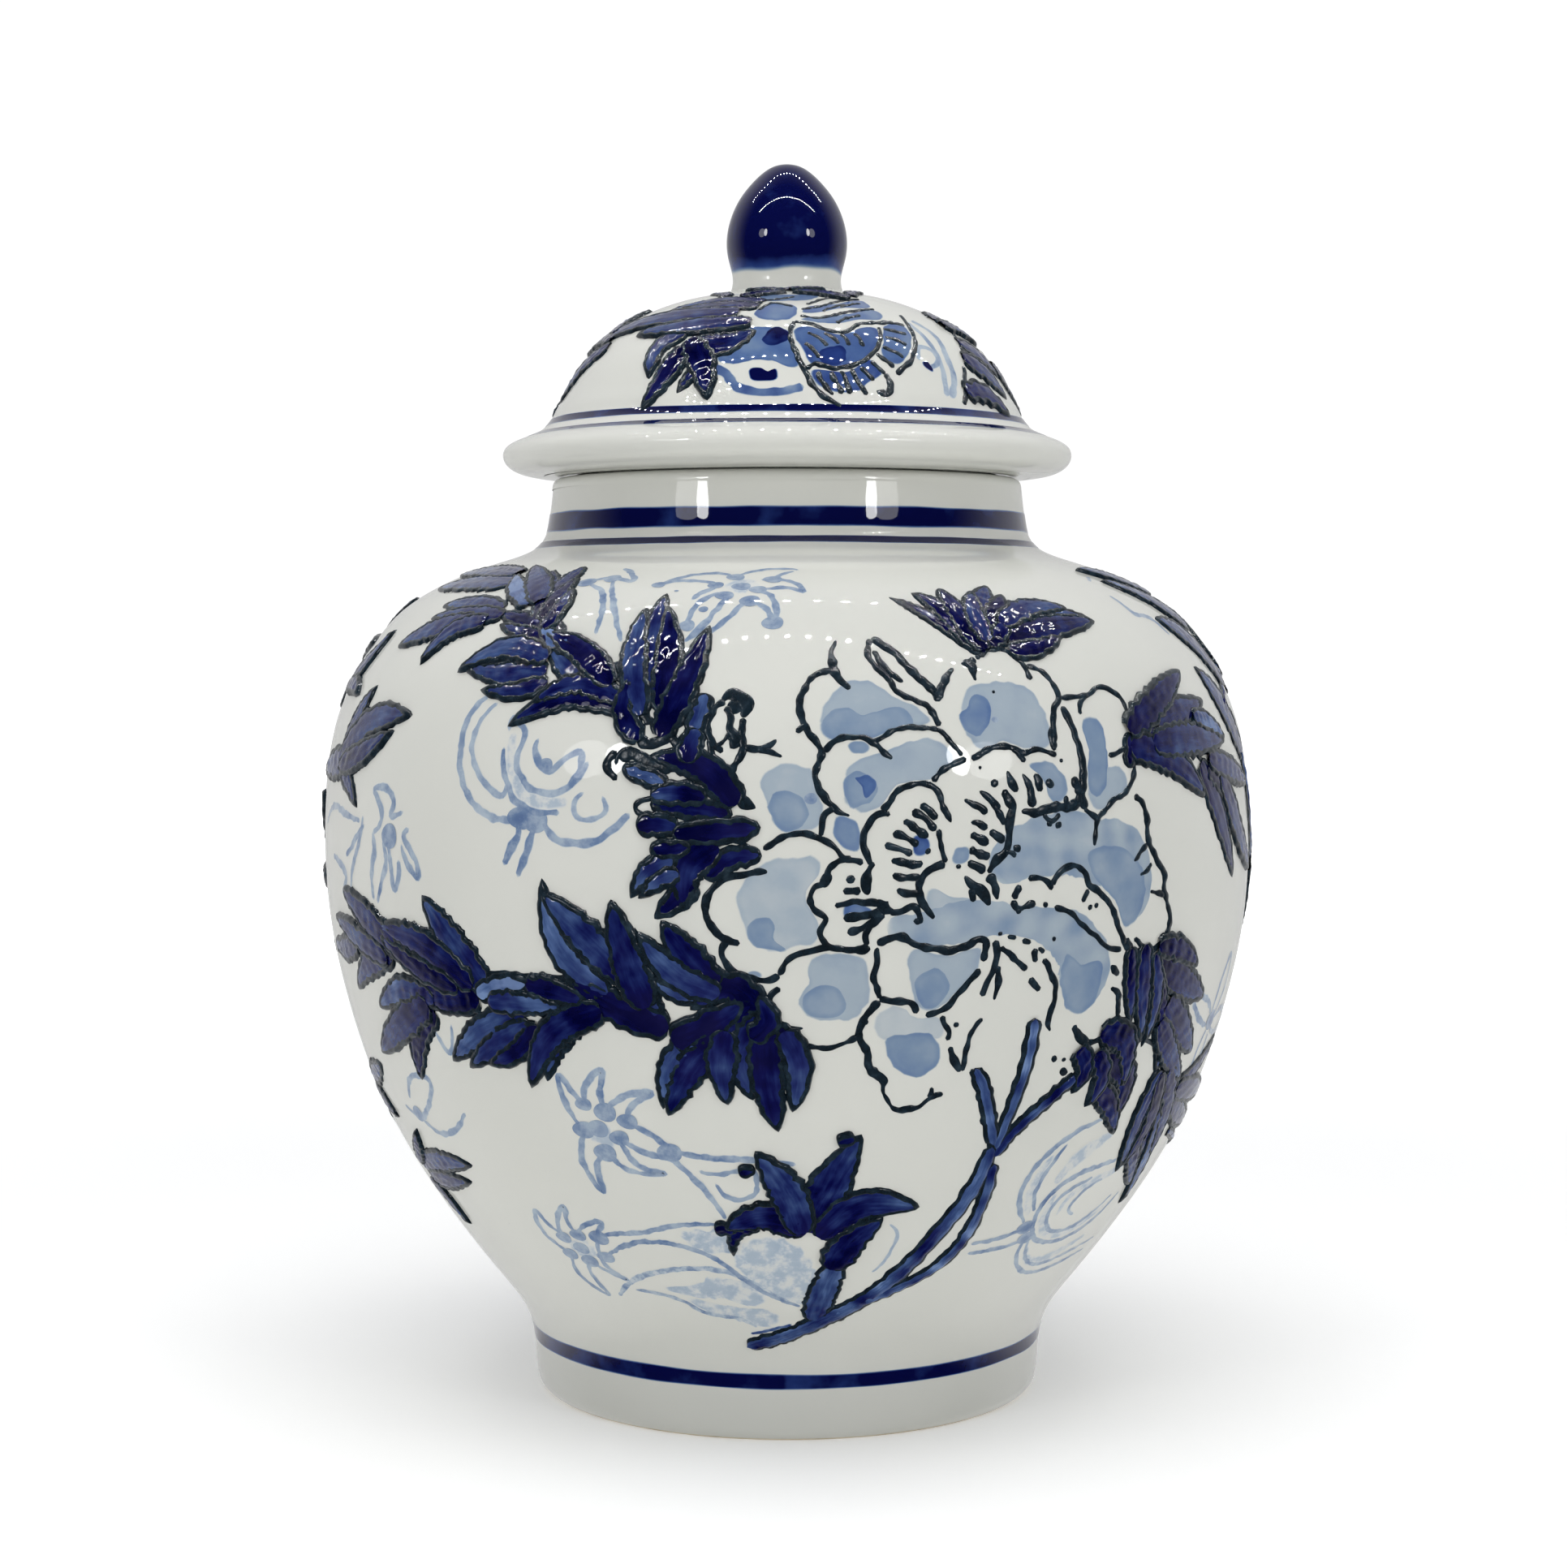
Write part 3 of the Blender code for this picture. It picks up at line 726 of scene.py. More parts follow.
peony = {
    "lineHeight": 0.28, "lineSwell": 1.2, "combSwell": 1.4,
    "lines": [
        (1.15, [(9.2, 38.0), (7.0, 37.6), (5.0, 36.5), (3.5, 34.6), (2.5, 32.0), (2.3, 29.5), (3.0, 27.0), (4.4, 24.8),
                (5.7, 23.0), (6.2, 21.4), (5.4, 19.0), (5.0, 17.2), (5.6, 15.2), (6.8, 13.2), (8.3, 11.5),
                (9.8, 10.5, 0.8), (11.3, 10.2, 0.5)]),
        (1.3, [(10.1, 45.2, 0.5), (9.0, 43.0, 1.1), (8.8, 40.2), (9.2, 38.0, 1.9), (10.1, 35.8, 1.6), (12.1, 33.8)]),
        (0.9, [(1.5, 25.4), (2.6, 26.2), (3.1, 27.2)]),
        (1.05, [(6.4, 21.8), (8.0, 23.2), (10.8, 24.4), (13.5, 24.4), (15.6, 23.5), (17.1, 22.2), (18.3, 20.9),
                (19.3, 20.2, 0.6)]),
        (0.85, [(15.8, 23.3), (17.6, 24.5), (19.8, 25.5), (22.2, 26.2), (25.2, 26.2), (28.2, 25.7), (30.0, 24.3),
                (31.3, 22.5), (32.6, 20.6)]),
        (1.15, [(17.1, 45.5), (16.3, 43.2), (16.5, 40.6), (17.6, 38.4), (19.1, 36.8), (20.2, 35.2), (20.9, 33.5),
                (22.3, 32.4), (24.2, 31.5), (26.3, 30.6), (27.5, 29.2), (28.1, 27.7), (28.9, 26.4)]),
        (1.5, [(17.2, 45.6), (19.0, 44.4), (21.0, 42.6), (23.2, 39.8), (25.2, 37.0), (27.0, 34.9), (28.4, 33.2),
               (29.3, 31.2)]),
        (1.3, [(29.2, 31.8), (29.9, 33.8), (31.4, 36.1), (33.4, 38.4, 0.7)]),
        (1.6, [(27.6, 34.6, 0.8), (29.2, 33.0), (30.6, 34.2, 0.7)]),
        (1.2, [(17.4, 42.6), (18.5, 39.8), (20.2, 37.2), (22.6, 35.3, 0.7)]),
        (1.5, [(35.2, 39.3, 0.8), (37.4, 38.9, 2.2), (37.4, 37.0, 1.4), (37.5, 35.4, 0.9)]),
        (1.2, [(35.6, 39.2), (37.2, 39.8), (38.9, 40.2)]),
        (1.0, [(39.0, 40.3), (40.5, 41.8), (42.6, 42.7), (45.0, 42.8), (47.3, 41.6), (48.9, 39.7), (49.7, 37.6),
               (49.8, 35.5)]),
        (1.1, [(49.9, 38.9), (51.9, 38.1), (53.7, 37.0), (54.9, 35.3), (55.6, 33.2), (55.2, 31.0), (54.0, 29.8),
               (53.3, 28.2), (52.9, 26.0), (52.6, 23.6), (52.2, 21.2)]),
        (1.8, [(52.8, 26.4, 0.7), (52.0, 24.0, 1.9), (52.4, 21.4, 1.0)]),
        (1.0, [(34.3, 20.2), (36.2, 20.8), (38.2, 21.9), (40.5, 22.5), (43.0, 22.0), (46.0, 21.1), (48.0, 21.5),
               (50.2, 21.3), (52.6, 20.3)]),
        (0.9, [(42.8, 22.0), (44.5, 20.7), (45.3, 19.2)]),
        (1.5, [(55.8, 30.0), (57.0, 27.0), (57.8, 24.0), (58.2, 21.0), (58.5, 18.0), (58.2, 15.0), (57.8, 12.4),
               (58.6, 10.2)]),
        (0.95, [(55.6, 32.0), (58.5, 31.7), (60.8, 32.0), (63.2, 32.2), (65.3, 33.2), (67.4, 33.8), (70.0, 33.0),
                (72.0, 31.6), (72.9, 29.4), (72.7, 27.0)]),
        (1.0, [(72.6, 24.0), (72.6, 21.6), (72.2, 18.5), (71.5, 15.9), (70.2, 14.0), (68.4, 12.7), (65.5, 11.6),
               (63.0, 9.8), (61.2, 7.9), (60.7, 5.8), (60.4, 3.3, 0.7)]),
        (0.9, [(59.8, 28.2), (60.8, 30.6), (63.4, 32.3)]),
        (1.25, [(71.2, 12.3), (73.0, 11.2), (74.5, 9.0), (74.7, 6.5), (75.0, 4.0), (76.5, 1.4), (78.4, -0.8),
                (80.2, -3.1), (80.4, -5.6), (81.5, -8.5), (82.8, -11.2), (82.4, -14.0), (81.2, -15.6),
                (79.4, -16.9), (77.0, -17.8), (75.0, -18.0), (73.0, -17.4), (71.0, -16.0), (69.8, -14.4)]),
        (1.0, [(74.8, 3.0), (72.6, 1.6), (70.6, 0.0, 0.5)]),
        (0.9, [(76.0, -0.4), (74.6, -1.9), (72.5, -2.6, 0.5)]),
        (0.9, [(80.4, -7.0), (78.2, -6.4), (75.7, -6.0, 0.5)]),
        (1.0, [(45.3, -1.9), (48.0, -2.0), (50.2, -3.1), (50.7, -4.3)]),
        (1.1, [(50.6, -3.4), (51.6, -1.9), (53.6, -0.4), (56.0, -0.1), (58.0, -1.4), (59.4, -3.8), (61.2, -4.8),
               (63.2, -6.3), (65.5, -8.6), (66.9, -11.2), (68.2, -13.6), (69.9, -15.6), (71.2, -17.2)]),
        (0.8, [(59.0, -4.4), (58.3, -5.6), (57.7, -6.9)]),
        (1.2, [(42.3, -5.6), (43.2, -4.0), (44.0, -3.2)]),
        (1.1, [(42.0, -5.8), (43.4, -7.3), (45.2, -6.9), (47.2, -6.9)]),
        (1.2, [(43.4, -7.2), (43.8, -8.4)]),
        (0.9, [(51.2, -7.4), (53.0, -7.8), (55.0, -8.8), (57.2, -10.4), (59.7, -12.2), (62.5, -14.2), (64.6, -15.6),
               (67.0, -16.4), (68.8, -16.4)]),
        (1.05, [(17.0, 10.8), (18.2, 12.4), (19.6, 13.9), (21.6, 15.2), (24.0, 15.7), (26.4, 15.2), (27.8, 13.8),
                (28.4, 11.6), (29.2, 9.9), (30.0, 8.6, 0.6)]),
        (1.1, [(18.6, 10.2), (16.2, 10.2), (14.6, 8.8), (13.7, 7.0), (13.6, 5.0), (14.3, 3.0), (15.0, 1.2)]),
        (2.0, [(15.6, 1.8, 0.9), (14.4, -0.4, 1.7), (14.1, -2.4, 2.1), (14.4, -4.2, 1.0)]),
        (1.0, [(26.6, 16.0), (28.0, 17.6), (29.8, 18.9), (32.0, 19.6), (33.5, 20.1)]),
        (0.9, [(27.6, 7.6), (28.0, 4.4), (28.9, 1.4)]),
        (1.3, [(28.8, 1.3), (26.4, 0.5), (24.5, -0.9), (23.8, -3.6), (25.0, -6.4), (26.9, -8.7, 0.6)]),
        (1.0, [(18.4, -7.2), (20.5, -7.3), (22.8, -6.4), (24.0, -7.9), (24.0, -9.6)]),
        (1.0, [(11.6, 2.3), (9.8, 2.2), (8.2, 1.4), (7.2, 0.0), (6.8, -1.7), (5.2, -2.3), (4.3, -3.7), (4.2, -5.5),
               (5.4, -7.3), (7.0, -8.3), (6.1, -10.0), (6.3, -12.0), (7.6, -13.4), (10.0, -13.9), (13.0, -14.0),
               (14.7, -13.1)]),
        (2.3, [(7.2, 0.2, 1.0), (6.8, -1.6, 2.1), (6.0, -2.6, 1.0)]),
        (1.0, [(14.4, -13.4), (14.1, -11.4), (15.4, -9.2), (17.4, -7.4)]),
        (2.2, [(16.2, -4.8, 0.9), (17.2, -6.4, 2.3), (19.4, -7.1, 1.0)]),
        (1.0, [(-4.3, 4.0), (-2.5, 5.4), (-0.4, 6.5), (2.0, 7.0), (4.5, 6.7), (6.6, 5.7), (8.5, 4.2), (9.9, 2.8),
               (11.5, 2.2), (13.6, 1.5)]),
        (0.95, [(5.8, 6.4), (6.1, 8.5), (6.9, 10.5), (8.4, 11.7)]),
        (1.2, [(-3.4, 0.1, 0.6), (-5.5, 0.0), (-8.0, -0.4), (-10.6, -0.8), (-12.9, -2.3), (-14.2, -4.3),
               (-14.8, -7.0), (-14.0, -9.3), (-12.3, -11.3), (-10.5, -12.4), (-8.5, -12.7)]),
        (1.1, [(-10.5, -12.4), (-11.8, -13.8), (-11.7, -15.7), (-10.3, -17.5), (-7.6, -19.0), (-5.0, -19.6),
               (-2.4, -19.4), (-1.4, -18.6)]),
        (1.0, [(-1.4, -18.8), (-0.9, -17.0), (0.8, -15.3), (3.5, -14.3), (6.5, -13.8), (9.5, -13.7), (12.2, -14.1),
               (14.0, -14.5), (14.9, -13.4)]),
        (1.0, [(-1.2, -21.2), (-3.0, -22.8), (-3.3, -24.6), (-2.5, -27.0), (-0.2, -28.9), (3.0, -28.8, 0.6)]),
        (0.95, [(2.6, -32.0), (5.5, -32.8), (9.0, -32.7), (11.5, -31.7), (13.3, -30.9, 1.8)]),
        (1.2, [(24.4, -26.5), (22.6, -24.1), (19.6, -24.0), (17.0, -23.2)]),
        (1.25, [(17.2, -23.8), (14.7, -26.8), (13.7, -29.0), (14.0, -32.0), (15.3, -34.2), (15.6, -36.5),
                (17.2, -38.6, 2.2), (18.8, -39.8, 1.8), (18.7, -42.0, 0.9), (19.8, -44.4, 0.8), (21.6, -46.3, 1.1),
                (24.0, -46.6, 1.9), (26.6, -45.9, 1.0), (28.5, -44.3, 1.1), (30.0, -43.6), (31.4, -43.5, 0.8)]),
        (0.9, [(28.5, -44.2), (28.8, -41.8)]),
        (1.25, [(16.4, -13.4), (18.0, -12.1), (20.0, -11.7), (22.5, -12.8), (26.0, -14.0), (30.0, -14.6),
                (33.5, -13.6), (35.6, -12.7), (37.0, -13.0), (36.9, -15.0), (36.8, -17.0)]),
        (1.0, [(16.3, -13.6), (16.3, -16.5), (15.8, -18.5), (16.3, -21.0), (17.2, -23.4)]),
        (1.15, [(36.2, -18.2), (34.5, -20.4), (32.0, -23.1), (30.2, -25.4), (28.0, -26.4), (26.0, -26.9)]),
        (1.0, [(29.4, -27.0), (30.0, -29.0), (31.1, -30.4), (30.8, -32.2)]),
        (1.5, [(31.5, -33.4, 1.0), (32.6, -36.1), (34.5, -38.8, 1.0)]),
        (0.9, [(34.7, -38.8), (35.0, -35.0), (35.5, -31.6), (36.7, -29.1), (37.8, -28.0)]),
        (1.1, [(38.9, -13.0, 1.8), (39.5, -16.0), (39.0, -18.6), (38.0, -21.1), (37.1, -23.7)]),
        (1.3, [(39.8, -17.8), (40.1, -21.0), (39.8, -24.6, 0.6)]),
        (1.0, [(40.2, -14.2), (43.0, -16.5), (46.1, -19.1)]),
        (1.1, [(49.6, -17.0), (51.0, -19.0), (52.4, -21.2), (53.3, -24.0), (53.0, -26.8), (52.4, -29.0, 1.5),
               (53.4, -31.7, 0.7)]),
        (1.3, [(46.9, -20.6), (49.6, -23.2)]),
        (1.1, [(47.4, -14.9), (48.2, -17.6)]),
        (1.4, [(66.3, -19.4, 0.7), (68.0, -20.6, 1.8), (69.0, -21.6, 0.8)]),
        (1.2, [(67.2, -24.0, 0.7), (69.0, -24.8), (70.2, -27.4), (70.5, -30.0), (69.5, -33.0), (67.0, -34.5),
               (64.0, -34.8), (61.2, -33.6), (58.9, -30.9)]),
        (1.9, [(59.2, -31.4, 0.8), (61.6, -33.8, 2.4), (64.0, -34.9, 1.2)]),
        (1.2, [(55.0, -37.0), (56.2, -38.2)]), (0.9, [(57.8, -37.6), (58.3, -38.5)]),
        (1.4, [(58.2, -39.6), (59.4, -41.6)]),
        (2.2, [(43.0, 11.6, 0.9), (41.7, 9.4, 2.1), (41.5, 6.2, 1.5), (40.6, 3.2, 1.8), (38.2, 1.0, 1.6),
               (37.2, -0.8, 0.9)]),
        (1.6, [(44.0, 10.5, 0.9), (47.0, 10.0), (50.0, 10.8), (54.0, 10.8), (56.8, 12.0, 2.0), (57.4, 14.8, 1.2)]),
        (1.0, [(58.0, 10.4), (60.0, 9.2), (61.6, 8.2)]),
        (0.9, [(48.6, 9.8), (50.6, 8.4), (52.4, 9.8)]),
        (0.8, [(40.2, 3.2), (41.6, 3.0), (42.8, 2.0)]),
    ],
    "combs": [
        (1.1, [(24.2, 12.1), (27.4, 9.4)]), (1.1, [(22.5, 10.8), (24.8, 9.6), (27.0, 7.4)]),
        (1.1, [(20.9, 9.1), (23.0, 7.8), (25.6, 6.0)]), (0.9, [(18.9, 6.9), (21.6, 6.0), (23.8, 4.7)]),
        (0.9, [(17.4, 4.8), (20.2, 4.1), (22.6, 3.0)]), (1.1, [(18.6, 2.1), (21.6, 1.5), (24.6, 1.2)]),
        (0.95, [(18.8, -0.7), (21.4, -1.1), (24.2, -1.0)]), (0.95, [(19.6, -3.3), (22.0, -3.9), (24.0, -4.0)]),
        (0.9, [(25.0, 3.9), (25.9, 3.2)]), (1.0, [(25.6, 8.6), (27.0, 7.2)]),
        (1.0, [(10.4, -1.3), (12.2, -1.2)]), (1.0, [(9.9, -3.2), (13.2, -3.5)]),
        (0.9, [(8.4, -5.9), (12.0, -5.4), (16.6, -5.6)]), (1.2, [(10.0, -8.4), (13.0, -8.0), (17.0, -7.2)]),
        (1.1, [(10.7, -10.9), (14.0, -9.8), (17.6, -7.6)]),
        (1.0, [(32.5, 12.8, 0.5), (34.8, 11.7), (37.2, 10.3)]), (1.1, [(35.6, 14.3, 0.5), (37.8, 12.6), (39.6, 10.7)]),
        (1.2, [(38.0, 16.0), (39.5, 15.2)]), (1.3, [(40.2, 14.2), (41.6, 12.4), (42.6, 10.6)]),
        (1.2, [(41.3, 17.8, 0.5), (42.3, 15.6), (43.3, 13.8)]), (1.3, [(44.7, 17.3, 0.5), (46.0, 14.4), (46.6, 10.9)]),
        (1.2, [(47.4, 17.2), (48.6, 13.8)]), (1.2, [(49.9, 16.2), (51.0, 14.3)]),
        (1.1, [(53.2, 12.0), (54.6, 12.4)]), (1.3, [(55.4, 16.0), (57.0, 14.4), (57.0, 12.6)]),
        (1.1, [(33.7, 8.7, 0.5), (35.6, 8.2), (37.1, 7.4)]), (1.2, [(33.7, 6.6), (35.5, 5.5), (37.3, 4.6)]),
        (1.2, [(37.4, 7.0), (39.0, 5.9), (40.6, 5.0)]), (1.2, [(33.4, 3.9), (35.5, 2.9), (37.6, 2.2)]),
        (1.2, [(33.1, 1.6), (35.0, 0.5), (36.6, -0.4)]), (1.4, [(37.2, -0.8), (38.4, -3.0), (39.3, -5.6, 0.6)]),
        (1.6, [(32.5, -0.9, 0.6), (34.0, -2.8, 2.0), (36.0, -4.2), (37.5, -6.8, 1.0)]),
        (0.9, [(34.0, -3.2), (34.1, -5.9)]),
        (0.9, [(38.2, 12.6), (39.8, 9.6), (40.8, 8.0)]), (1.0, [(23.2, -8.4), (24.0, -9.7)]),
    ],
    "dots": [(43.0, 3.6, 0.9), (50.0, 7.7, 0.7), (52.0, 7.5, 0.8), (31.3, 0.6, 0.55), (49.3, -7.0, 0.6),
             (59.7, -7.9, 0.6), (61.2, -7.7, 0.55), (53.5, 19.3, 0.45), (36.0, 18.5, 0.35), (32.4, -29.2, 0.6),
             (14.6, -28.0, 0.6), (14.9, -26.2, 0.55), (40.9, 33.0, 0.4), (39.9, -12.0, 0.5), (51.6, -13.4, 0.5)],
    "dashes": [[(41.4, -12.5), (43.4, -12.8)], [(44.6, -13.2), (46.6, -13.9)], [(48.2, -14.8), (49.6, -16.0)]],
    # each wash is its ink and its outline
    "washes": [
        (0.24, [(7.0, 31.0), (9.5, 34.3), (13.0, 36.0), (17.5, 34.6), (21.5, 31.8), (25.0, 30.0), (27.0, 27.4),
                (23.0, 26.3), (19.0, 25.6), (16.5, 24.4), (12.0, 24.8), (8.4, 23.6), (6.2, 26.5)]),
        (0.36, [(6.3, 25.0), (6.6, 28.4), (9.0, 30.0), (11.5, 30.2), (13.2, 29.0), (18.0, 29.8), (22.8, 29.6),
                (24.0, 26.6), (19.0, 25.4), (15.6, 24.0), (12.0, 24.7), (8.6, 23.7)]),
        (0.34, [(10.8, 22.6), (12.6, 23.9), (15.0, 22.8), (14.2, 21.4), (12.0, 21.4)]),
        (0.24, [(10.2, 15.0), (10.6, 18.4), (14.0, 20.6), (20.0, 22.6), (26.0, 24.2), (30.0, 22.4), (31.0, 20.0),
                (27.0, 16.6), (23.0, 16.3), (19.0, 14.6), (16.6, 11.6), (12.6, 10.8), (10.4, 12.4)]),
        (0.36, [(10.6, 17.4), (11.8, 18.4), (14.6, 17.6), (16.6, 16.0), (15.0, 12.4), (11.4, 11.6), (10.3, 13.6)]),
        (0.55, [(11.9, 17.2), (13.4, 17.3), (15.8, 17.0), (16.0, 14.8), (14.2, 12.9), (13.2, 15.2)]),
        (0.22, [(-4.8, 15.2), (-3.6, 18.6), (0.0, 19.6), (4.2, 18.6), (5.2, 15.4), (6.4, 12.0), (5.8, 8.2), (3.0, 7.2),
                (0.0, 7.2), (-3.0, 9.6), (-3.8, 12.4)]),
        (0.36, [(-3.5, 12.6), (-2.6, 14.4), (0.6, 14.6), (3.4, 12.8), (4.0, 10.4), (2.4, 7.6), (0.0, 7.0),
                (-2.6, 8.8)]),
        (0.4, [(8.2, 8.4), (9.8, 10.3), (12.4, 9.4), (13.2, 6.6), (12.6, 3.8), (9.8, 4.4), (8.4, 6.4)]),
        (0.2, [(-8.4, -2.0), (-6.6, 0.0), (-2.8, 2.4), (2.0, 2.8), (6.0, 2.2), (5.8, 0.0), (3.6, -3.0), (3.8, -6.0),
               (5.6, -9.0), (5.4, -12.4), (2.0, -13.4), (-2.4, -14.4), (-6.4, -12.4), (-8.4, -8.6), (-9.2, -5.0)]),
        (0.36, [(-7.6, -9.6), (-5.8, -8.2), (-2.8, -8.2), (-2.0, -9.8), (-2.4, -12.0), (0.0, -14.0), (-4.8, -13.8),
                (-7.2, -12.0)]),
        (0.3, [(-7.4, -18.2), (-6.0, -17.8), (-4.6, -18.8), (-6.2, -19.4)]),
        (0.24, [(33.4, 28.0), (34.6, 33.0), (38.6, 35.0), (44.6, 35.2), (49.6, 33.4), (51.4, 29.0), (51.6, 22.6),
                (46.2, 21.8), (40.4, 23.0), (36.4, 21.8), (34.2, 24.0)]),
        (0.42, [(32.8, 27.0), (35.2, 31.2), (37.6, 33.0), (39.6, 31.6), (39.4, 28.0), (38.0, 25.2), (34.8, 24.4)]),
        (0.32, [(46.2, 18.8), (49.0, 19.6), (52.6, 18.2), (54.6, 14.6), (54.0, 12.4), (50.4, 12.0), (49.0, 16.0)]),
        (0.38, [(59.8, 26.6), (61.6, 27.8), (64.4, 27.2), (65.2, 23.0), (64.6, 17.2), (62.4, 12.6), (60.6, 12.4),
                (59.4, 17.0), (60.2, 23.0)]),
        (0.24, [(60.0, 15.0), (64.6, 18.0), (69.0, 17.0), (70.0, 14.6), (66.0, 12.0), (62.0, 10.0), (59.6, 11.0)]),
        (0.36, [(58.6, 2.0), (63.0, 3.6), (69.0, 2.4), (73.8, -2.0), (74.4, -7.0), (72.4, -11.0), (69.6, -12.4),
                (66.8, -8.6), (62.6, -4.4), (59.4, -1.0)]),
        (0.36, [(54.6, -16.0), (58.6, -18.4), (63.4, -18.0), (64.6, -23.0), (62.0, -28.0), (57.8, -28.4),
                (54.8, -24.4), (53.6, -19.8)]),
        (0.2, [(26.0, -3.0), (29.6, -4.6), (33.0, -5.0), (36.4, -8.2), (30.0, -8.8), (25.4, -7.6)]),
        (0.34, [(30.0, 2.6), (31.6, 4.4), (33.8, 3.6), (32.8, 1.6), (30.8, 1.0)]),
        (0.24, [(22.4, -14.4), (28.0, -15.2), (33.4, -14.6), (36.0, -14.4), (36.2, -17.6), (33.6, -20.6),
                (30.0, -24.6), (26.2, -26.2), (23.8, -24.6), (22.8, -20.4), (22.0, -17.4)]),
        (0.36, [(23.6, -19.6), (25.8, -17.8), (29.0, -18.4), (30.4, -21.0), (29.0, -24.8), (26.2, -26.0),
                (24.2, -23.4)]),
        (0.24, [(3.4, -17.0), (6.0, -14.8), (11.0, -14.6), (14.4, -16.4), (15.2, -20.0), (15.0, -24.4), (12.2, -27.2),
                (7.4, -27.6), (3.0, -25.8), (2.2, -22.6), (4.0, -20.0)]),
        (0.36, [(2.2, -22.8), (4.4, -21.2), (8.4, -20.6), (10.8, -23.0), (10.2, -26.6), (6.8, -27.3), (3.2, -25.8)]),
        (0.16, [(17.0, -26.0), (21.0, -25.0), (25.0, -27.4), (29.0, -27.4), (30.2, -31.0), (24.0, -31.0),
                (17.0, -31.0)]),
        (0.38, [(18.8, -31.2), (23.0, -30.2), (28.0, -30.8), (29.8, -34.6), (28.4, -38.4), (24.6, -39.6),
                (21.0, -37.6), (19.0, -34.6)]),
        (0.6, [(23.0, 6.6), (25.4, 5.8), (25.6, 3.2), (24.0, 2.6), (22.4, 4.4)]),
        (0.5, [(9.8, -6.4), (14.0, -6.2), (15.6, -7.2), (12.0, -8.8), (10.2, -8.2)]),
    ],
    # long washes are one loaded brush stroke each, with the width of the stroke along it
    "bands": [
        (0.28, [(38.2, -1.8, 7.0), (44.0, 2.8, 10.0), (50.0, 4.0, 11.6), (56.0, 4.0, 12.0), (62.0, 2.2, 12.4),
                (67.0, 1.4, 13.0), (70.8, -4.0, 11.0), (70.8, -11.0, 6.0)]),
        (0.28, [(17.8, -9.8, 4.0), (25.0, -10.4, 6.4), (32.0, -9.4, 8.0), (39.0, -9.0, 6.4), (46.0, -10.0, 6.0),
                (52.0, -11.6, 8.4), (57.0, -14.8, 11.0), (59.8, -19.8, 12.6), (60.0, -27.6, 7.0)]),
    ],
}

bud = {"lines": [
    (1.2, [(-11.8, 31.6), (-13.4, 30.2), (-14.6, 27.6), (-14.4, 24.6), (-13.1, 22.6), (-11.6, 21.8)]),
    (2.6, [(-12.4, 31.4, 1.0), (-10.8, 32.6, 2.6), (-8.6, 32.0, 2.8), (-7.6, 30.2, 2.6), (-8.6, 28.2, 1.4)]),
    (2.8, [(-11.4, 30.4, 1.4), (-9.8, 30.2, 3.2), (-8.6, 29.4, 2.4)]),
    (1.3, [(-11.6, 30.4), (-10.6, 28.2), (-10.6, 25.8, 1.8), (-9.4, 24.2, 2.6), (-10.6, 22.4, 1.2)]),
    (1.2, [(-8.2, 28.2), (-8.3, 25.0), (-8.0, 22.2), (-9.4, 19.6), (-10.4, 17.0), (-9.6, 14.6), (-7.8, 13.0),
           (-5.7, 11.5, 0.7)]),
    (1.0, [(-14.2, 24.0), (-13.8, 21.0), (-12.6, 18.8), (-11.0, 17.0), (-10.2, 15.4)]),
    (1.1, [(-8.0, 22.4), (-5.4, 22.3), (-3.2, 22.9), (-2.0, 24.1, 0.6)]),
    (1.0, [(-5.6, 22.0), (-3.0, 21.6), (-0.8, 21.0, 0.5)]),
    (1.6, [(-9.6, 13.4, 0.8), (-7.8, 12.4, 1.8), (-5.6, 11.4, 0.6)]),
    (0.7, [(-10.4, 25.6), (-12.0, 23.4), (-13.4, 22.6)]),
]}


def makePeony():
    # black slip outlines and stamen combs over brushed washes, on the front and again on the back
    for side, shift in (("Front", 0.0), ("Back", backTurn)):
        lines, washes = newHeap(), newHeap()
        marks = [(peony["lineSwell"] * width, points) for width, points in peony["lines"] + bud["lines"]]
        marks += [(peony["combSwell"] * width, points) for width, points in peony["combs"]]
        for seed, (width, points) in enumerate(marks):
            addRidge(lines, jarSkin, points, width, peony["lineHeight"], seed, 0.14, shift)
        for seed, points in enumerate(peony["dashes"]):
            addRidge(lines, jarSkin, points, 0.9, peony["lineHeight"], seed + 300, 0.16, shift)
        for seed, (x, y, size) in enumerate(peony["dots"]):
            addRidge(lines, jarSkin, [(x - size, y), (x, y + 0.05), (x + size, y)], 1.7 * size, 0.24, seed + 400, 0.1,
                     shift, 0.2)
        for seed, (ink, outline) in enumerate(peony["washes"]):
            addWash(washes, jarSkin, outline, ink, seed + 50, shift)
        for seed, (ink, points) in enumerate(peony["bands"]):
            addBrush(washes, jarSkin, points, 6.0, ink, seed + 90, 0.04, shift)
        finishHeap("peonyLines" + side, lines, blackLine, "jar")
        finishHeap("peonyWashes" + side, washes, painted, "jar", True)


makePeony()


# cobalt leaves and stems

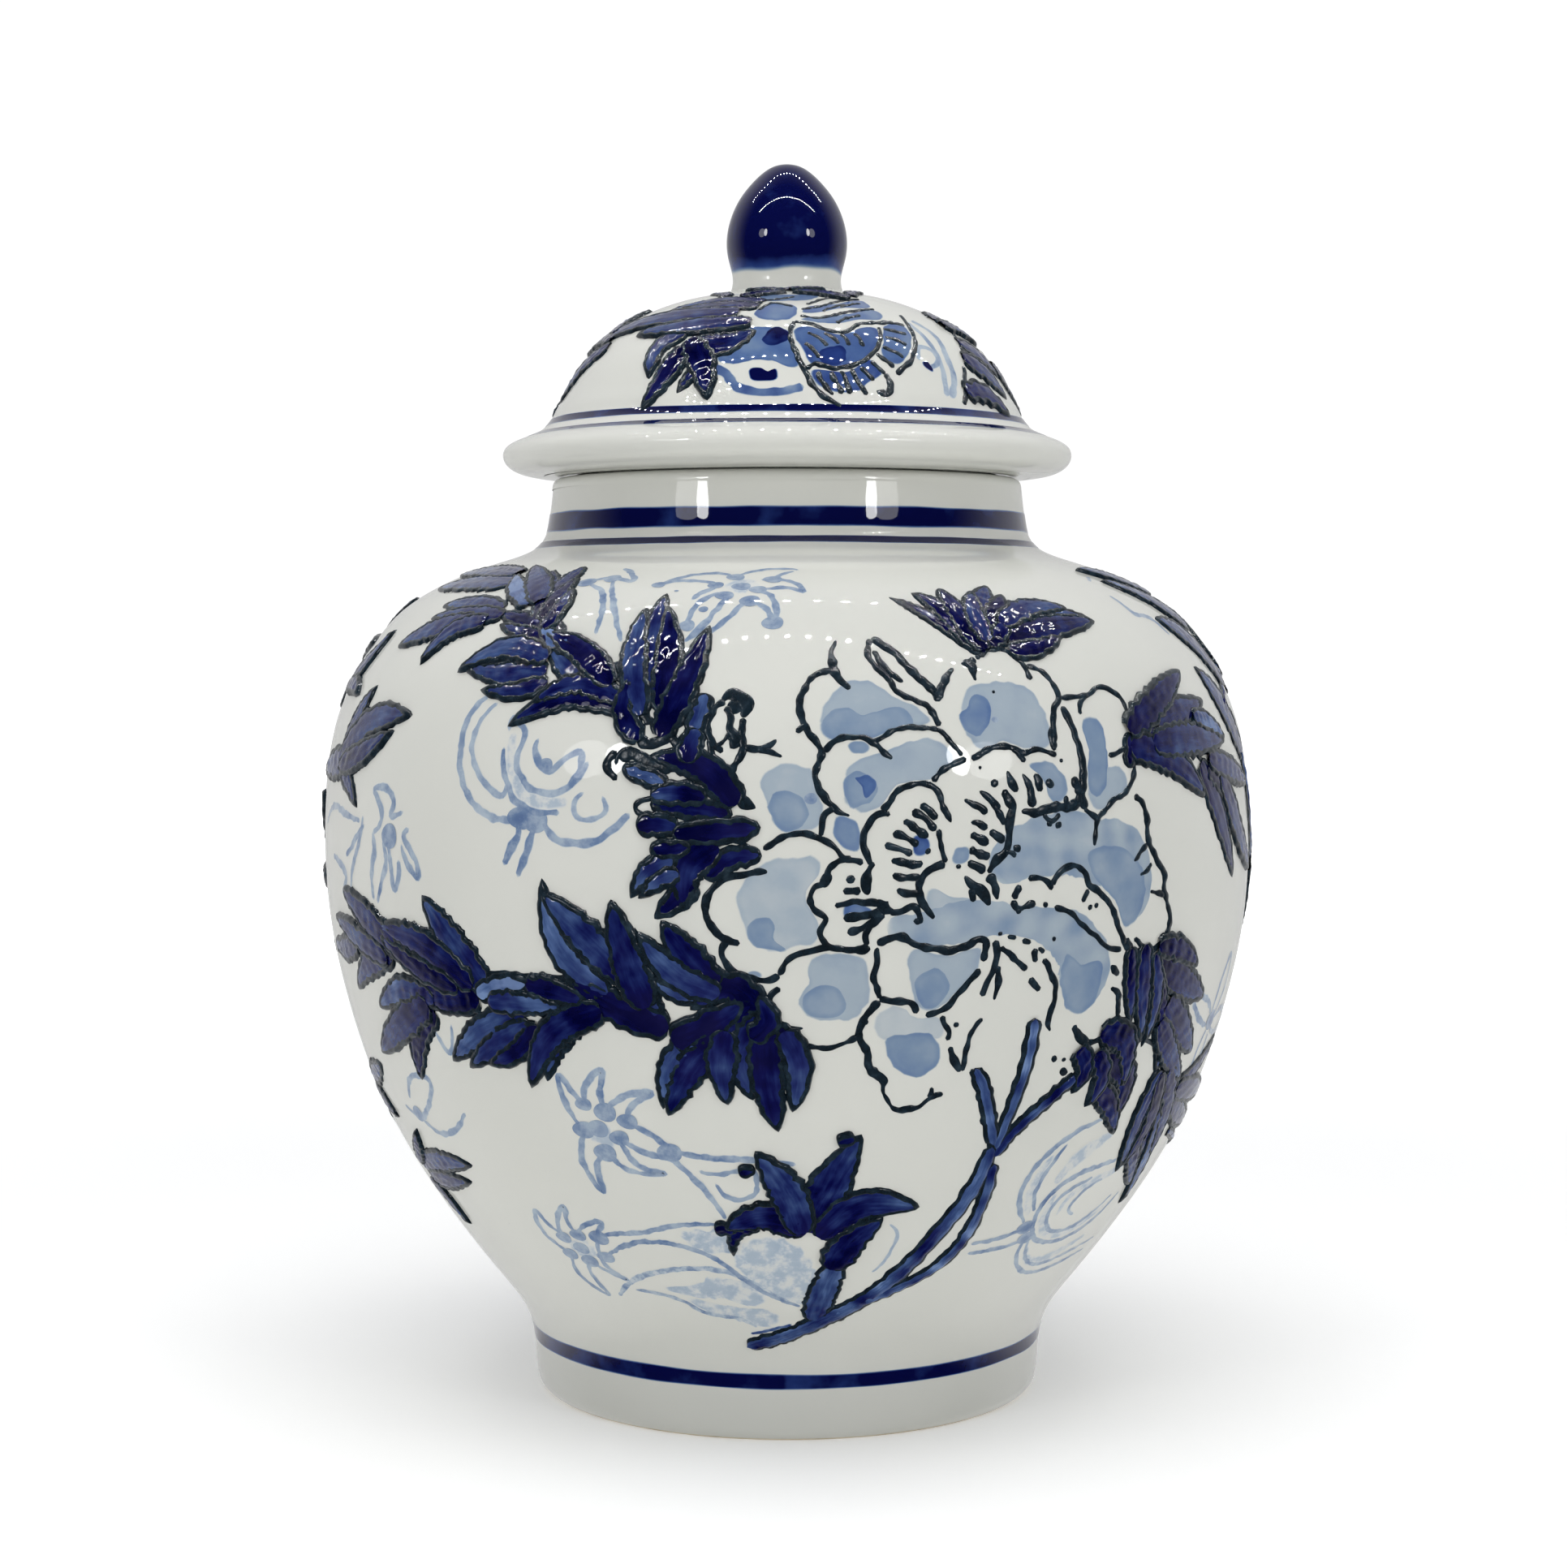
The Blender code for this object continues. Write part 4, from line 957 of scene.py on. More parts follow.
# each lobe is root, bend and tip in the design plane, its width, and its depth of cobalt from 0, thin, to 1
leafLobes = [
    (-72, 54, -84, 56.5, -96.5, 56, 6, 0.5), (-70, 52, -86, 52.5, -96, 51.5, 5, 0.6),
    (-79, 50.5, -92, 48, -103, 43.8, 6, 0.6), (-74, 50, -84, 47, -88, 40.5, 5.5, 0.6),
    (-50, 46, -60, 50, -69.5, 52.5, 5.6, 0.9), (-52, 45, -60, 47, -67, 49, 4, 0.8),
    (-64, 56, -73, 62, -82, 70, 5.5, 0.15), (-61, 57, -68, 65, -81, 76, 7, 0.6), (-59, 58, -64, 64, -70, 72.5, 6, 0.6),
    (-57, 59, -60, 67, -60.5, 74.5, 6, 0.7), (-56.5, 51, -57, 58, -57, 66.5, 4.5, 0.9),
    (-54.5, 48, -53.5, 55, -54, 60.5, 4, 0.8), (-58, 51, -60.5, 56, -62, 61.5, 3.6, 0.9),
    (-80, 66, -98, 67, -119, 64, 9, 0.5), (-84, 72, -100, 74, -125, 72, 8, 0.55),
    (-51, 40.5, -62, 43, -72.5, 38.2, 5.6, 0.5), (-50.5, 37.5, -61, 37, -70.5, 38, 5, 0.6),
    (-49.5, 35, -56, 33.2, -63.5, 33.2, 3.6, 0.7),
    (-45, 43.6, -51, 45, -55.5, 49, 4.5, 0.15), (-35, 35, -43, 42, -52.5, 46.5, 5.4, 0.9),
    (-38, 35, -45, 38, -50.5, 42.5, 4.4, 0.5), (-31, 30.5, -42, 32.5, -54.5, 27, 5.6, 0.9),
    (-33, 32, -43, 34.6, -50.5, 31, 4.4, 0.7),
    (-28, 29, -31, 40, -31.5, 52.5, 5.4, 0.5), (-26, 31, -28, 45, -28.5, 58, 5.6, 0.65),
    (-23.5, 30, -24, 42, -26.2, 53, 5.4, 0.95), (-23.5, 25, -19.5, 36, -16.8, 47, 5.4, 0.9),
    (-28, 24, -31.2, 29, -31, 35.5, 4, 0.9),
    (-9.5, 12.6, -15, 18.5, -23.5, 20.6, 5.4, 1.0), (-13, 4.5, -17.8, 0.8, -18.6, -5, 5.8, 0.9),
    (-21.2, 2, -25, 0.2, -27.6, -3.2, 3.4, 0.5), (-20, -0.4, -23, -1.6, -25.6, -3.6, 2.8, 0.4),
    (-17, -2.6, -20, -5, -22.6, -7.2, 4, 0.95),
    (-112.5, 21, -109, 27, -105.5, 32, 5, 0.6), (-113, 19, -100, 26, -86.5, 27.6, 6.5, 0.6),
    (-113, 16.5, -101, 19.5, -91.5, 23.4, 5, 0.7), (-118.5, 18, -111, 15.5, -103.5, 10, 5, 0.7),
    (-111, 17, -122, 16.4, -130.5, 15, 6, 0.6), (-126.5, 35.5, -120, 40, -116.2, 46, 5, 0.6),
    (-128.5, 33, -121, 33.4, -116, 32, 4, 0.7),
    (-112.5, -72, -98, -68, -83.5, -66.5, 6, 0.6), (-111, -75, -98, -73.6, -87.5, -72, 5, 0.7),
    (-112, -76, -107.4, -82, -105, -87.5, 4.5, 0.6), (-112.5, -70, -108, -66, -104, -61.6, 3.6, 0.7),
    (-125.5, -50, -118, -48, -112, -46, 5, 0.6), (-125.5, -53, -120, -56, -115.6, -58, 4, 0.7),
    (-87, -17.6, -98, -12.5, -108.5, -8.2, 6, 0.7), (-91, -20, -103, -17, -115.5, -14, 5, 0.6),
    (-89, -19, -100, -22, -109.5, -27.4, 5.5, 0.6), (-105, -18, -115, -20.4, -122.5, -20, 5, 0.6),
    (-65, -23, -78, -16, -91.5, -13.8, 6, 0.8), (-69, -24, -82, -20, -91.5, -16, 4.5, 0.9),
    (-62, -22.6, -69, -15, -75.4, -8.2, 7, 0.6), (-64, -26, -75, -26.4, -85, -25, 6, 0.85),
    (-77, -27, -88, -26.5, -97.5, -30.2, 6, 0.5), (-79, -28.5, -89, -33, -103.5, -40.8, 7, 0.7),
    (-78, -29.6, -85, -35, -88.6, -44, 7, 0.9), (-63, -24.6, -56, -22.5, -50, -22, 4, 0.05),
    (-50.5, -22, -45, -23, -39, -24.6, 4.4, 0.9), (-60, -26, -52, -25.8, -45, -26, 4.5, 0.5),
    (-53.5, -28.6, -63, -32, -73.5, -38.8, 6, 0.5), (-52, -30.6, -60, -34.5, -68.5, -39.8, 5, 0.6),
    (-50, -30.6, -56, -36, -62.4, -39, 4.4, 0.9), (-36, -26.4, -46, -31, -53.3, -42, 6, 0.8),
    (-41, -29.4, -47, -35, -49.2, -40, 4, 0.7), (-34.5, -22.4, -43, -15, -46.2, -4, 5, 0.35),
    (-30, -19.4, -38, -12, -45.3, -5.6, 6.5, 0.6), (-26.6, -24.6, -30, -15, -32, -7.4, 6.5, 0.8),
    (-24.6, -26.6, -27.6, -19, -28, -12.4, 3.8, 0.5), (-23, -29, -32, -26, -41, -20.8, 6.2, 0.95),
    (-13.4, -20.4, -18, -15.6, -21.8, -10.6, 6, 0.8), (-13, -22, -20, -19, -26.4, -12.6, 5, 0.55),
    (-15, -22.2, -20, -22.5, -24.5, -20.2, 3.2, 0.3), (-5.4, -24.4, -11, -21, -16.5, -24.2, 5.4, 0.95),
    (-21, -31.6, -14, -28, -9, -24.6, 6.2, 0.97), (-6.4, -30.4, -3.6, -27.4, -4.7, -23.6, 4, 0.8),
    (1, -32.2, -4, -29, -10, -26.8, 4.4, 0.95), (-16, -30.2, -22, -36, -24.6, -44.4, 4.6, 0.45),
    (-13, -31, -19, -38, -23.2, -46, 6, 0.85), (-11.6, -30, -12.6, -37, -12, -43, 5.5, 0.7),
    (-7, -29, -9, -35, -7.4, -42, 5, 0.6), (-7.4, -24.4, -12, -29, -13.2, -34.5, 4.5, 0.8),
    (-4, -29, -4, -38, -2.2, -49, 6.5, 0.9), (-0.4, -30, 2, -36, 1.4, -44.5, 5, 0.6),
    (41, 42, 33, 50, 25, 57, 3.2, 0.95), (39.5, 43.6, 36, 52, 30.8, 58.6, 6, 0.95),
    (41, 43, 38.2, 53, 37, 60, 6, 0.9), (42.4, 45, 42, 52, 44.2, 59, 5, 0.6), (44.8, 49, 46, 56, 50.2, 62.5, 5.5, 0.7),
    (45, 48.6, 49, 54, 52, 58, 5, 0.95), (43.4, 44, 47, 47.5, 50.6, 50.6, 4, 0.9),
    (48, 49.4, 57, 54, 67.5, 54, 5.5, 0.6), (51, 50.6, 62, 53, 73.5, 51.4, 4, 0.55),
    (48.6, 45.4, 60, 48.5, 74, 50.2, 6, 0.8), (47.6, 42.2, 54, 43, 60.5, 45.2, 4.2, 0.97),
    (72, 25, 84, 31, 96, 36.4, 6, 0.85), (73, 23.6, 88, 27.5, 102.5, 30, 6.5, 0.75),
    (72, 21.4, 81, 20, 94.5, 12.2, 6.5, 0.7), (79, 22, 92, 22.6, 108.5, 22, 6.5, 0.65),
    (96, 26.8, 103, 25.4, 108.6, 22.6, 4, 0.3),
    (95.4, 17, 103, 7, 110.4, -4, 6, 0.75), (98.6, 16.6, 108, 11, 113.5, 6.6, 5, 0.97),
    (104.4, 15, 114, 4, 125.5, -4.4, 6, 0.6), (99, 18.2, 110, 16, 122.5, 12.8, 5, 0.6),
    (125.5, 19.4, 118, 28, 109.5, 36.4, 8, 0.5), (128.5, 34.4, 118, 45, 106.4, 50.4, 8, 0.55),
    (126.6, 49.4, 116, 58, 103.4, 66.4, 8, 0.5), (125.6, 61.6, 115, 70, 102.4, 74.4, 8, 0.5),
    (71.6, -17, 73, -24, 74.6, -30.6, 3.4, 0.8), (75.6, -16.6, 77, -26, 79.2, -34.6, 4.7, 0.7),
    (79, -18.6, 81.5, -26, 81, -35.6, 3.7, 0.6), (80, -16.6, 88, -18, 94.6, -21.2, 4.6, 0.9),
    (82, -20.4, 92, -25, 101.6, -28.6, 7, 0.8), (81.6, -23, 85, -30, 86.2, -34.6, 3.6, 0.9),
    (86.6, -29, 95, -35, 102.6, -40.4, 7, 0.7), (85, -33, 92, -40, 100.6, -46.4, 6, 0.6),
    (83.6, -27, 87, -36, 89.2, -43.6, 3.8, 0.6),
    (67, -33.2, 74, -35, 77.2, -44.6, 6, 0.8), (61.6, -36.4, 64, -40, 63, -44, 4.6, 0.85),
    (66.6, -37.4, 69.5, -43, 68, -47.6, 4.6, 0.8), (69, -39.4, 78, -44, 78, -53.6, 6, 0.85),
    (69.4, -45.6, 74, -49, 79.4, -56.2, 5, 0.8),
    (90.4, -44.4, 88, -55, 89, -67.6, 4.6, 0.5), (91.2, -45, 93.4, -55, 90, -66.6, 5, 0.85),
    (94, -46, 96.4, -56, 97, -66.6, 6, 0.7), (91.4, -61, 96, -68, 101.4, -74.6, 5, 0.6),
    (97.6, -54, 102, -66, 105.2, -80.6, 5, 0.3), (94.6, -44.4, 101, -55, 103.2, -65.6, 6, 0.7),
    (99, -50.2, 112, -47, 124.6, -41, 4.2, 0.6), (102, -52.4, 115, -58, 130.6, -62.2, 6, 0.65),
    (103, -50, 118, -52, 134.6, -55, 6, 0.6),
    (3.2, -77, 0, -66, -5.4, -57.4, 8, 0.6), (4.8, -77, 9, -65, 14.2, -53.8, 9, 0.75),
    (8, -79, 16, -70.5, 28.4, -71.2, 8.5, 0.75), (4, -77, -4.6, -73, -13, -76.2, 8.5, 0.85),
    (11.4, -89.5, 16, -80, 20.6, -75.2, 8, 0.8), (7.6, -111, 10.4, -97, 13.4, -84, 8, 0.4),
    (-7, -76.6, -12, -79, -13.2, -84.6, 2.6, 0.9),
    (140, 40, 147, 50, 156, 58, 6.5, 0.6), (140, 37, 150, 42, 161, 44, 6.5, 0.7), (142, 33, 152, 34, 162, 29, 6, 0.65),
    (141, -8, 148, -17, 158, -23, 6.5, 0.6), (140, -5, 150, -8, 162, -7, 6.5, 0.75), (143, -2, 153, 3, 161, 9, 6, 0.6),
    (142, -72, 150, -78, 160, -80, 6.5, 0.65), (141, -69, 151, -67, 161, -62, 6.5, 0.6),
]

# short rounded touches of the same cobalt, written the same way
leafPads = [
    (-17.5, 25.6, -16.4, 29, -15.6, 32.4, 3.4, 0.5), (-18.2, 20, -17.8, 23, -16.8, 25.4, 4, 0.8),
    (-22.2, 15.8, -26.4, 17.2, -30, 18.6, 2.6, 0.35), (-15, 13.4, -19, 14, -24.4, 13.6, 3.6, 0.8),
    (-10.4, 10.4, -16, 11.3, -24.4, 12, 3.2, 0.9), (-27, 8.2, -23.4, 8.4, -20.2, 8, 3.6, 0.85),
    (-20.4, 6.8, -13, 7.2, -5.4, 8, 3.8, 0.95), (-24.4, 4, -21, 4, -17.8, 4.4, 2.8, 1.0),
    (-14.4, -0.8, -10, 2.5, -5.2, 3, 3.4, 0.85), (-16.4, -77.2, -14.6, -77.2, -12.8, -77.6, 3.4, 0.9),
    (10.8, -53.4, 12, -53, 13.2, -52.6, 2.4, 0.9), (-9.6, -60.9, -8.5, -60.5, -7.4, -60.2, 2.2, 0.9),
    (70.4, 18.2, 71.4, 21, 71.8, 23.8, 2.4, 0.85),
]

# hooks and outlines round the leaves, as width and path
leafLines = [
    (0.95, [(-32.0, 19.0), (-31.2, 21.4), (-28.6, 22.2)]),
    (1.1, [(-22.8, 13.0), (-25.6, 12.9), (-27.6, 11.5), (-26.2, 10.0), (-23.8, 10.2)]),
    (1.0, [(-27.8, -3.8), (-27.2, 0.0), (-25.0, 2.3), (-22.0, 4.0)]),
    (1.6, [(-9.2, 13.6), (-7.4, 12.6), (-5.6, 11.4, 0.7)]),
    (1.2, [(-66.0, -22.0), (-58.0, -20.4), (-48.0, -20.4), (-40.0, -20.6), (-34.0, -22.0)]),
    (1.0, [(-90.0, -16.6), (-80.0, -22.4), (-68.0, -24.6)]), (1.0, [(-45.0, -28.0), (-38.0, -27.6), (-30.0, -28.6)]),
    (1.3, [(46.0, -62.0), (42.8, -52.0), (38.8, -42.4), (36.6, -38.4)]),
    (1.0, [(-76.0, 53.6), (-66.0, 52.2), (-58.0, 47.6)]),
    (1.0, [(73.0, 22.4), (68.0, 20.6), (65.2, 20.0)]), (1.1, [(93.6, 20.0), (97.0, 17.4), (103.0, 15.0)]),
    (1.1, [(86.0, -29.0), (79.4, -19.6), (72.0, -14.6)]), (1.1, [(95.0, -46.0), (88.0, -39.0), (78.0, -35.0)]),
    (2.4, [(-35.5, 39.7), (-32.5, 36.0), (-29.0, 31.3), (-25.6, 26.7)]),
    (2.2, [(-29.0, 25.4), (-25.2, 23.0), (-21.9, 24.2), (-19.2, 21.8)]),
    (2.6, [(-31.5, 20.4), (-28.6, 21.1), (-24.7, 19.3), (-20.3, 19.4)]),
    (1.8, [(-24.9, 29.3), (-22.6, 25.5), (-20.5, 23.0)]), (1.6, [(-31.9, 21.7), (-33.7, 19.2), (-31.5, 16.2)]),
]

# branches, as width, depth and path
stems = [
    (5.8, 0.5, [(-13.0, -125.0, 6.0), (-2.0, -120.5, 7.4), (8.0, -114.0, 7.6), (20.0, -105.0, 6.6), (30.0, -93.0),
                (38.0, -78.0, 5.6), (43.0, -66.0, 5.0), (44.6, -56.6, 4.2)]),
    (4.6, 0.42, [(13.6, -109.6, 3.4), (24.0, -103.0), (34.0, -97.0), (41.6, -89.6), (45.4, -80.0), (46.4, -70.0, 4.4),
                (46.2, -61.0, 3.6)]),
    (3.8, 0.5, [(45.6, -59.0), (50.0, -52.5), (56.0, -47.0), (62.4, -41.6)]),
    (3.8, 0.42, [(45.4, -57.0), (47.5, -47.0), (49.0, -38.0), (49.2, -28.6)]),
    (3.8, 0.3, [(44.6, -56.0), (42.0, -48.0), (39.0, -41.0), (37.4, -38.2)]),
    (3.0, 0.5, [(119.0, 29.0), (129.0, 34.6), (141.0, 38.0)]), (3.0, 0.5, [(124.0, 18.6), (132.0, 5.0), (142.0, -4.6)]),
    (3.0, 0.5, [(112.0, -62.0), (126.0, -66.0), (142.0, -71.0)]),
]


def addStem(pads, seats, skin, points, width, depth, seed, shift=0.0):
    # a branch: the black seat with its rim showing on both sides, and the cobalt run down its middle
    path, side, half, gone = strokePath(points, width, 0.8, seed, 0.1)
    v = np.sin(np.linspace(-0.5 * np.pi, 0.5 * np.pi, 13))[None, :]
    for reach, low, rise, heap in ((1.0, -0.03, 0.4, seats), (1.0 - 1.7 / width, 0.12, 0.42, pads)):
        x = path[:, :1] + side[:, :1] * half[:, None] * reach * v + shift
        y = path[:, 1:] + side[:, 1:] * half[:, None] * reach * v
        lift = low + rise * (1.0 - np.abs(v) ** 4) ** 0.7 * (1.0 + 0.25 * waves(x, y, 3.0, seed + 3))
        if heap is pads:
            tone = depth + 0.25 * waves(x, y, 9.0, seed + 4) - 0.12 * v ** 2
            addGrid(heap, place(skin, x, y, lift), skinNormal(skin, x, y), depth=tone,
                    along=gone[:, None] + 37.0 * seed, across=half[:, None] * v)
        else:
            addGrid(heap, place(skin, x, y, lift), skinNormal(skin, x, y))


def makeLeaves():
    # leaves, touches and branches on black seats; the same again on the back
    for side, shift in (("Front", 0.0), ("Back", backTurn)):
        pads, seats = newHeap(), newHeap()
        for seed, lobe in enumerate(leafLobes):
            addLobe(pads, seats, jarSkin, lobe, seed, True, shift)
        for seed, lobe in enumerate(leafPads):
            addLobe(pads, seats, jarSkin, lobe, seed + 200, False, shift)
        for seed, (width, points) in enumerate(leafLines):
            addRidge(seats, jarSkin, points, width, leafMake["lineHeight"], seed + 500, 0.14, shift, 0.5)
        for seed, (width, depth, points) in enumerate(stems):
            addStem(pads, seats, jarSkin, points, width, depth, seed + 600, shift)
        finishHeap("leafCobalt" + side, pads, cobaltPad, "jar")
        finishHeap("leafSeats" + side, seats, blackLine, "jar")


makeLeaves()


# faint brushed flowers and fruit, and the ruled rings

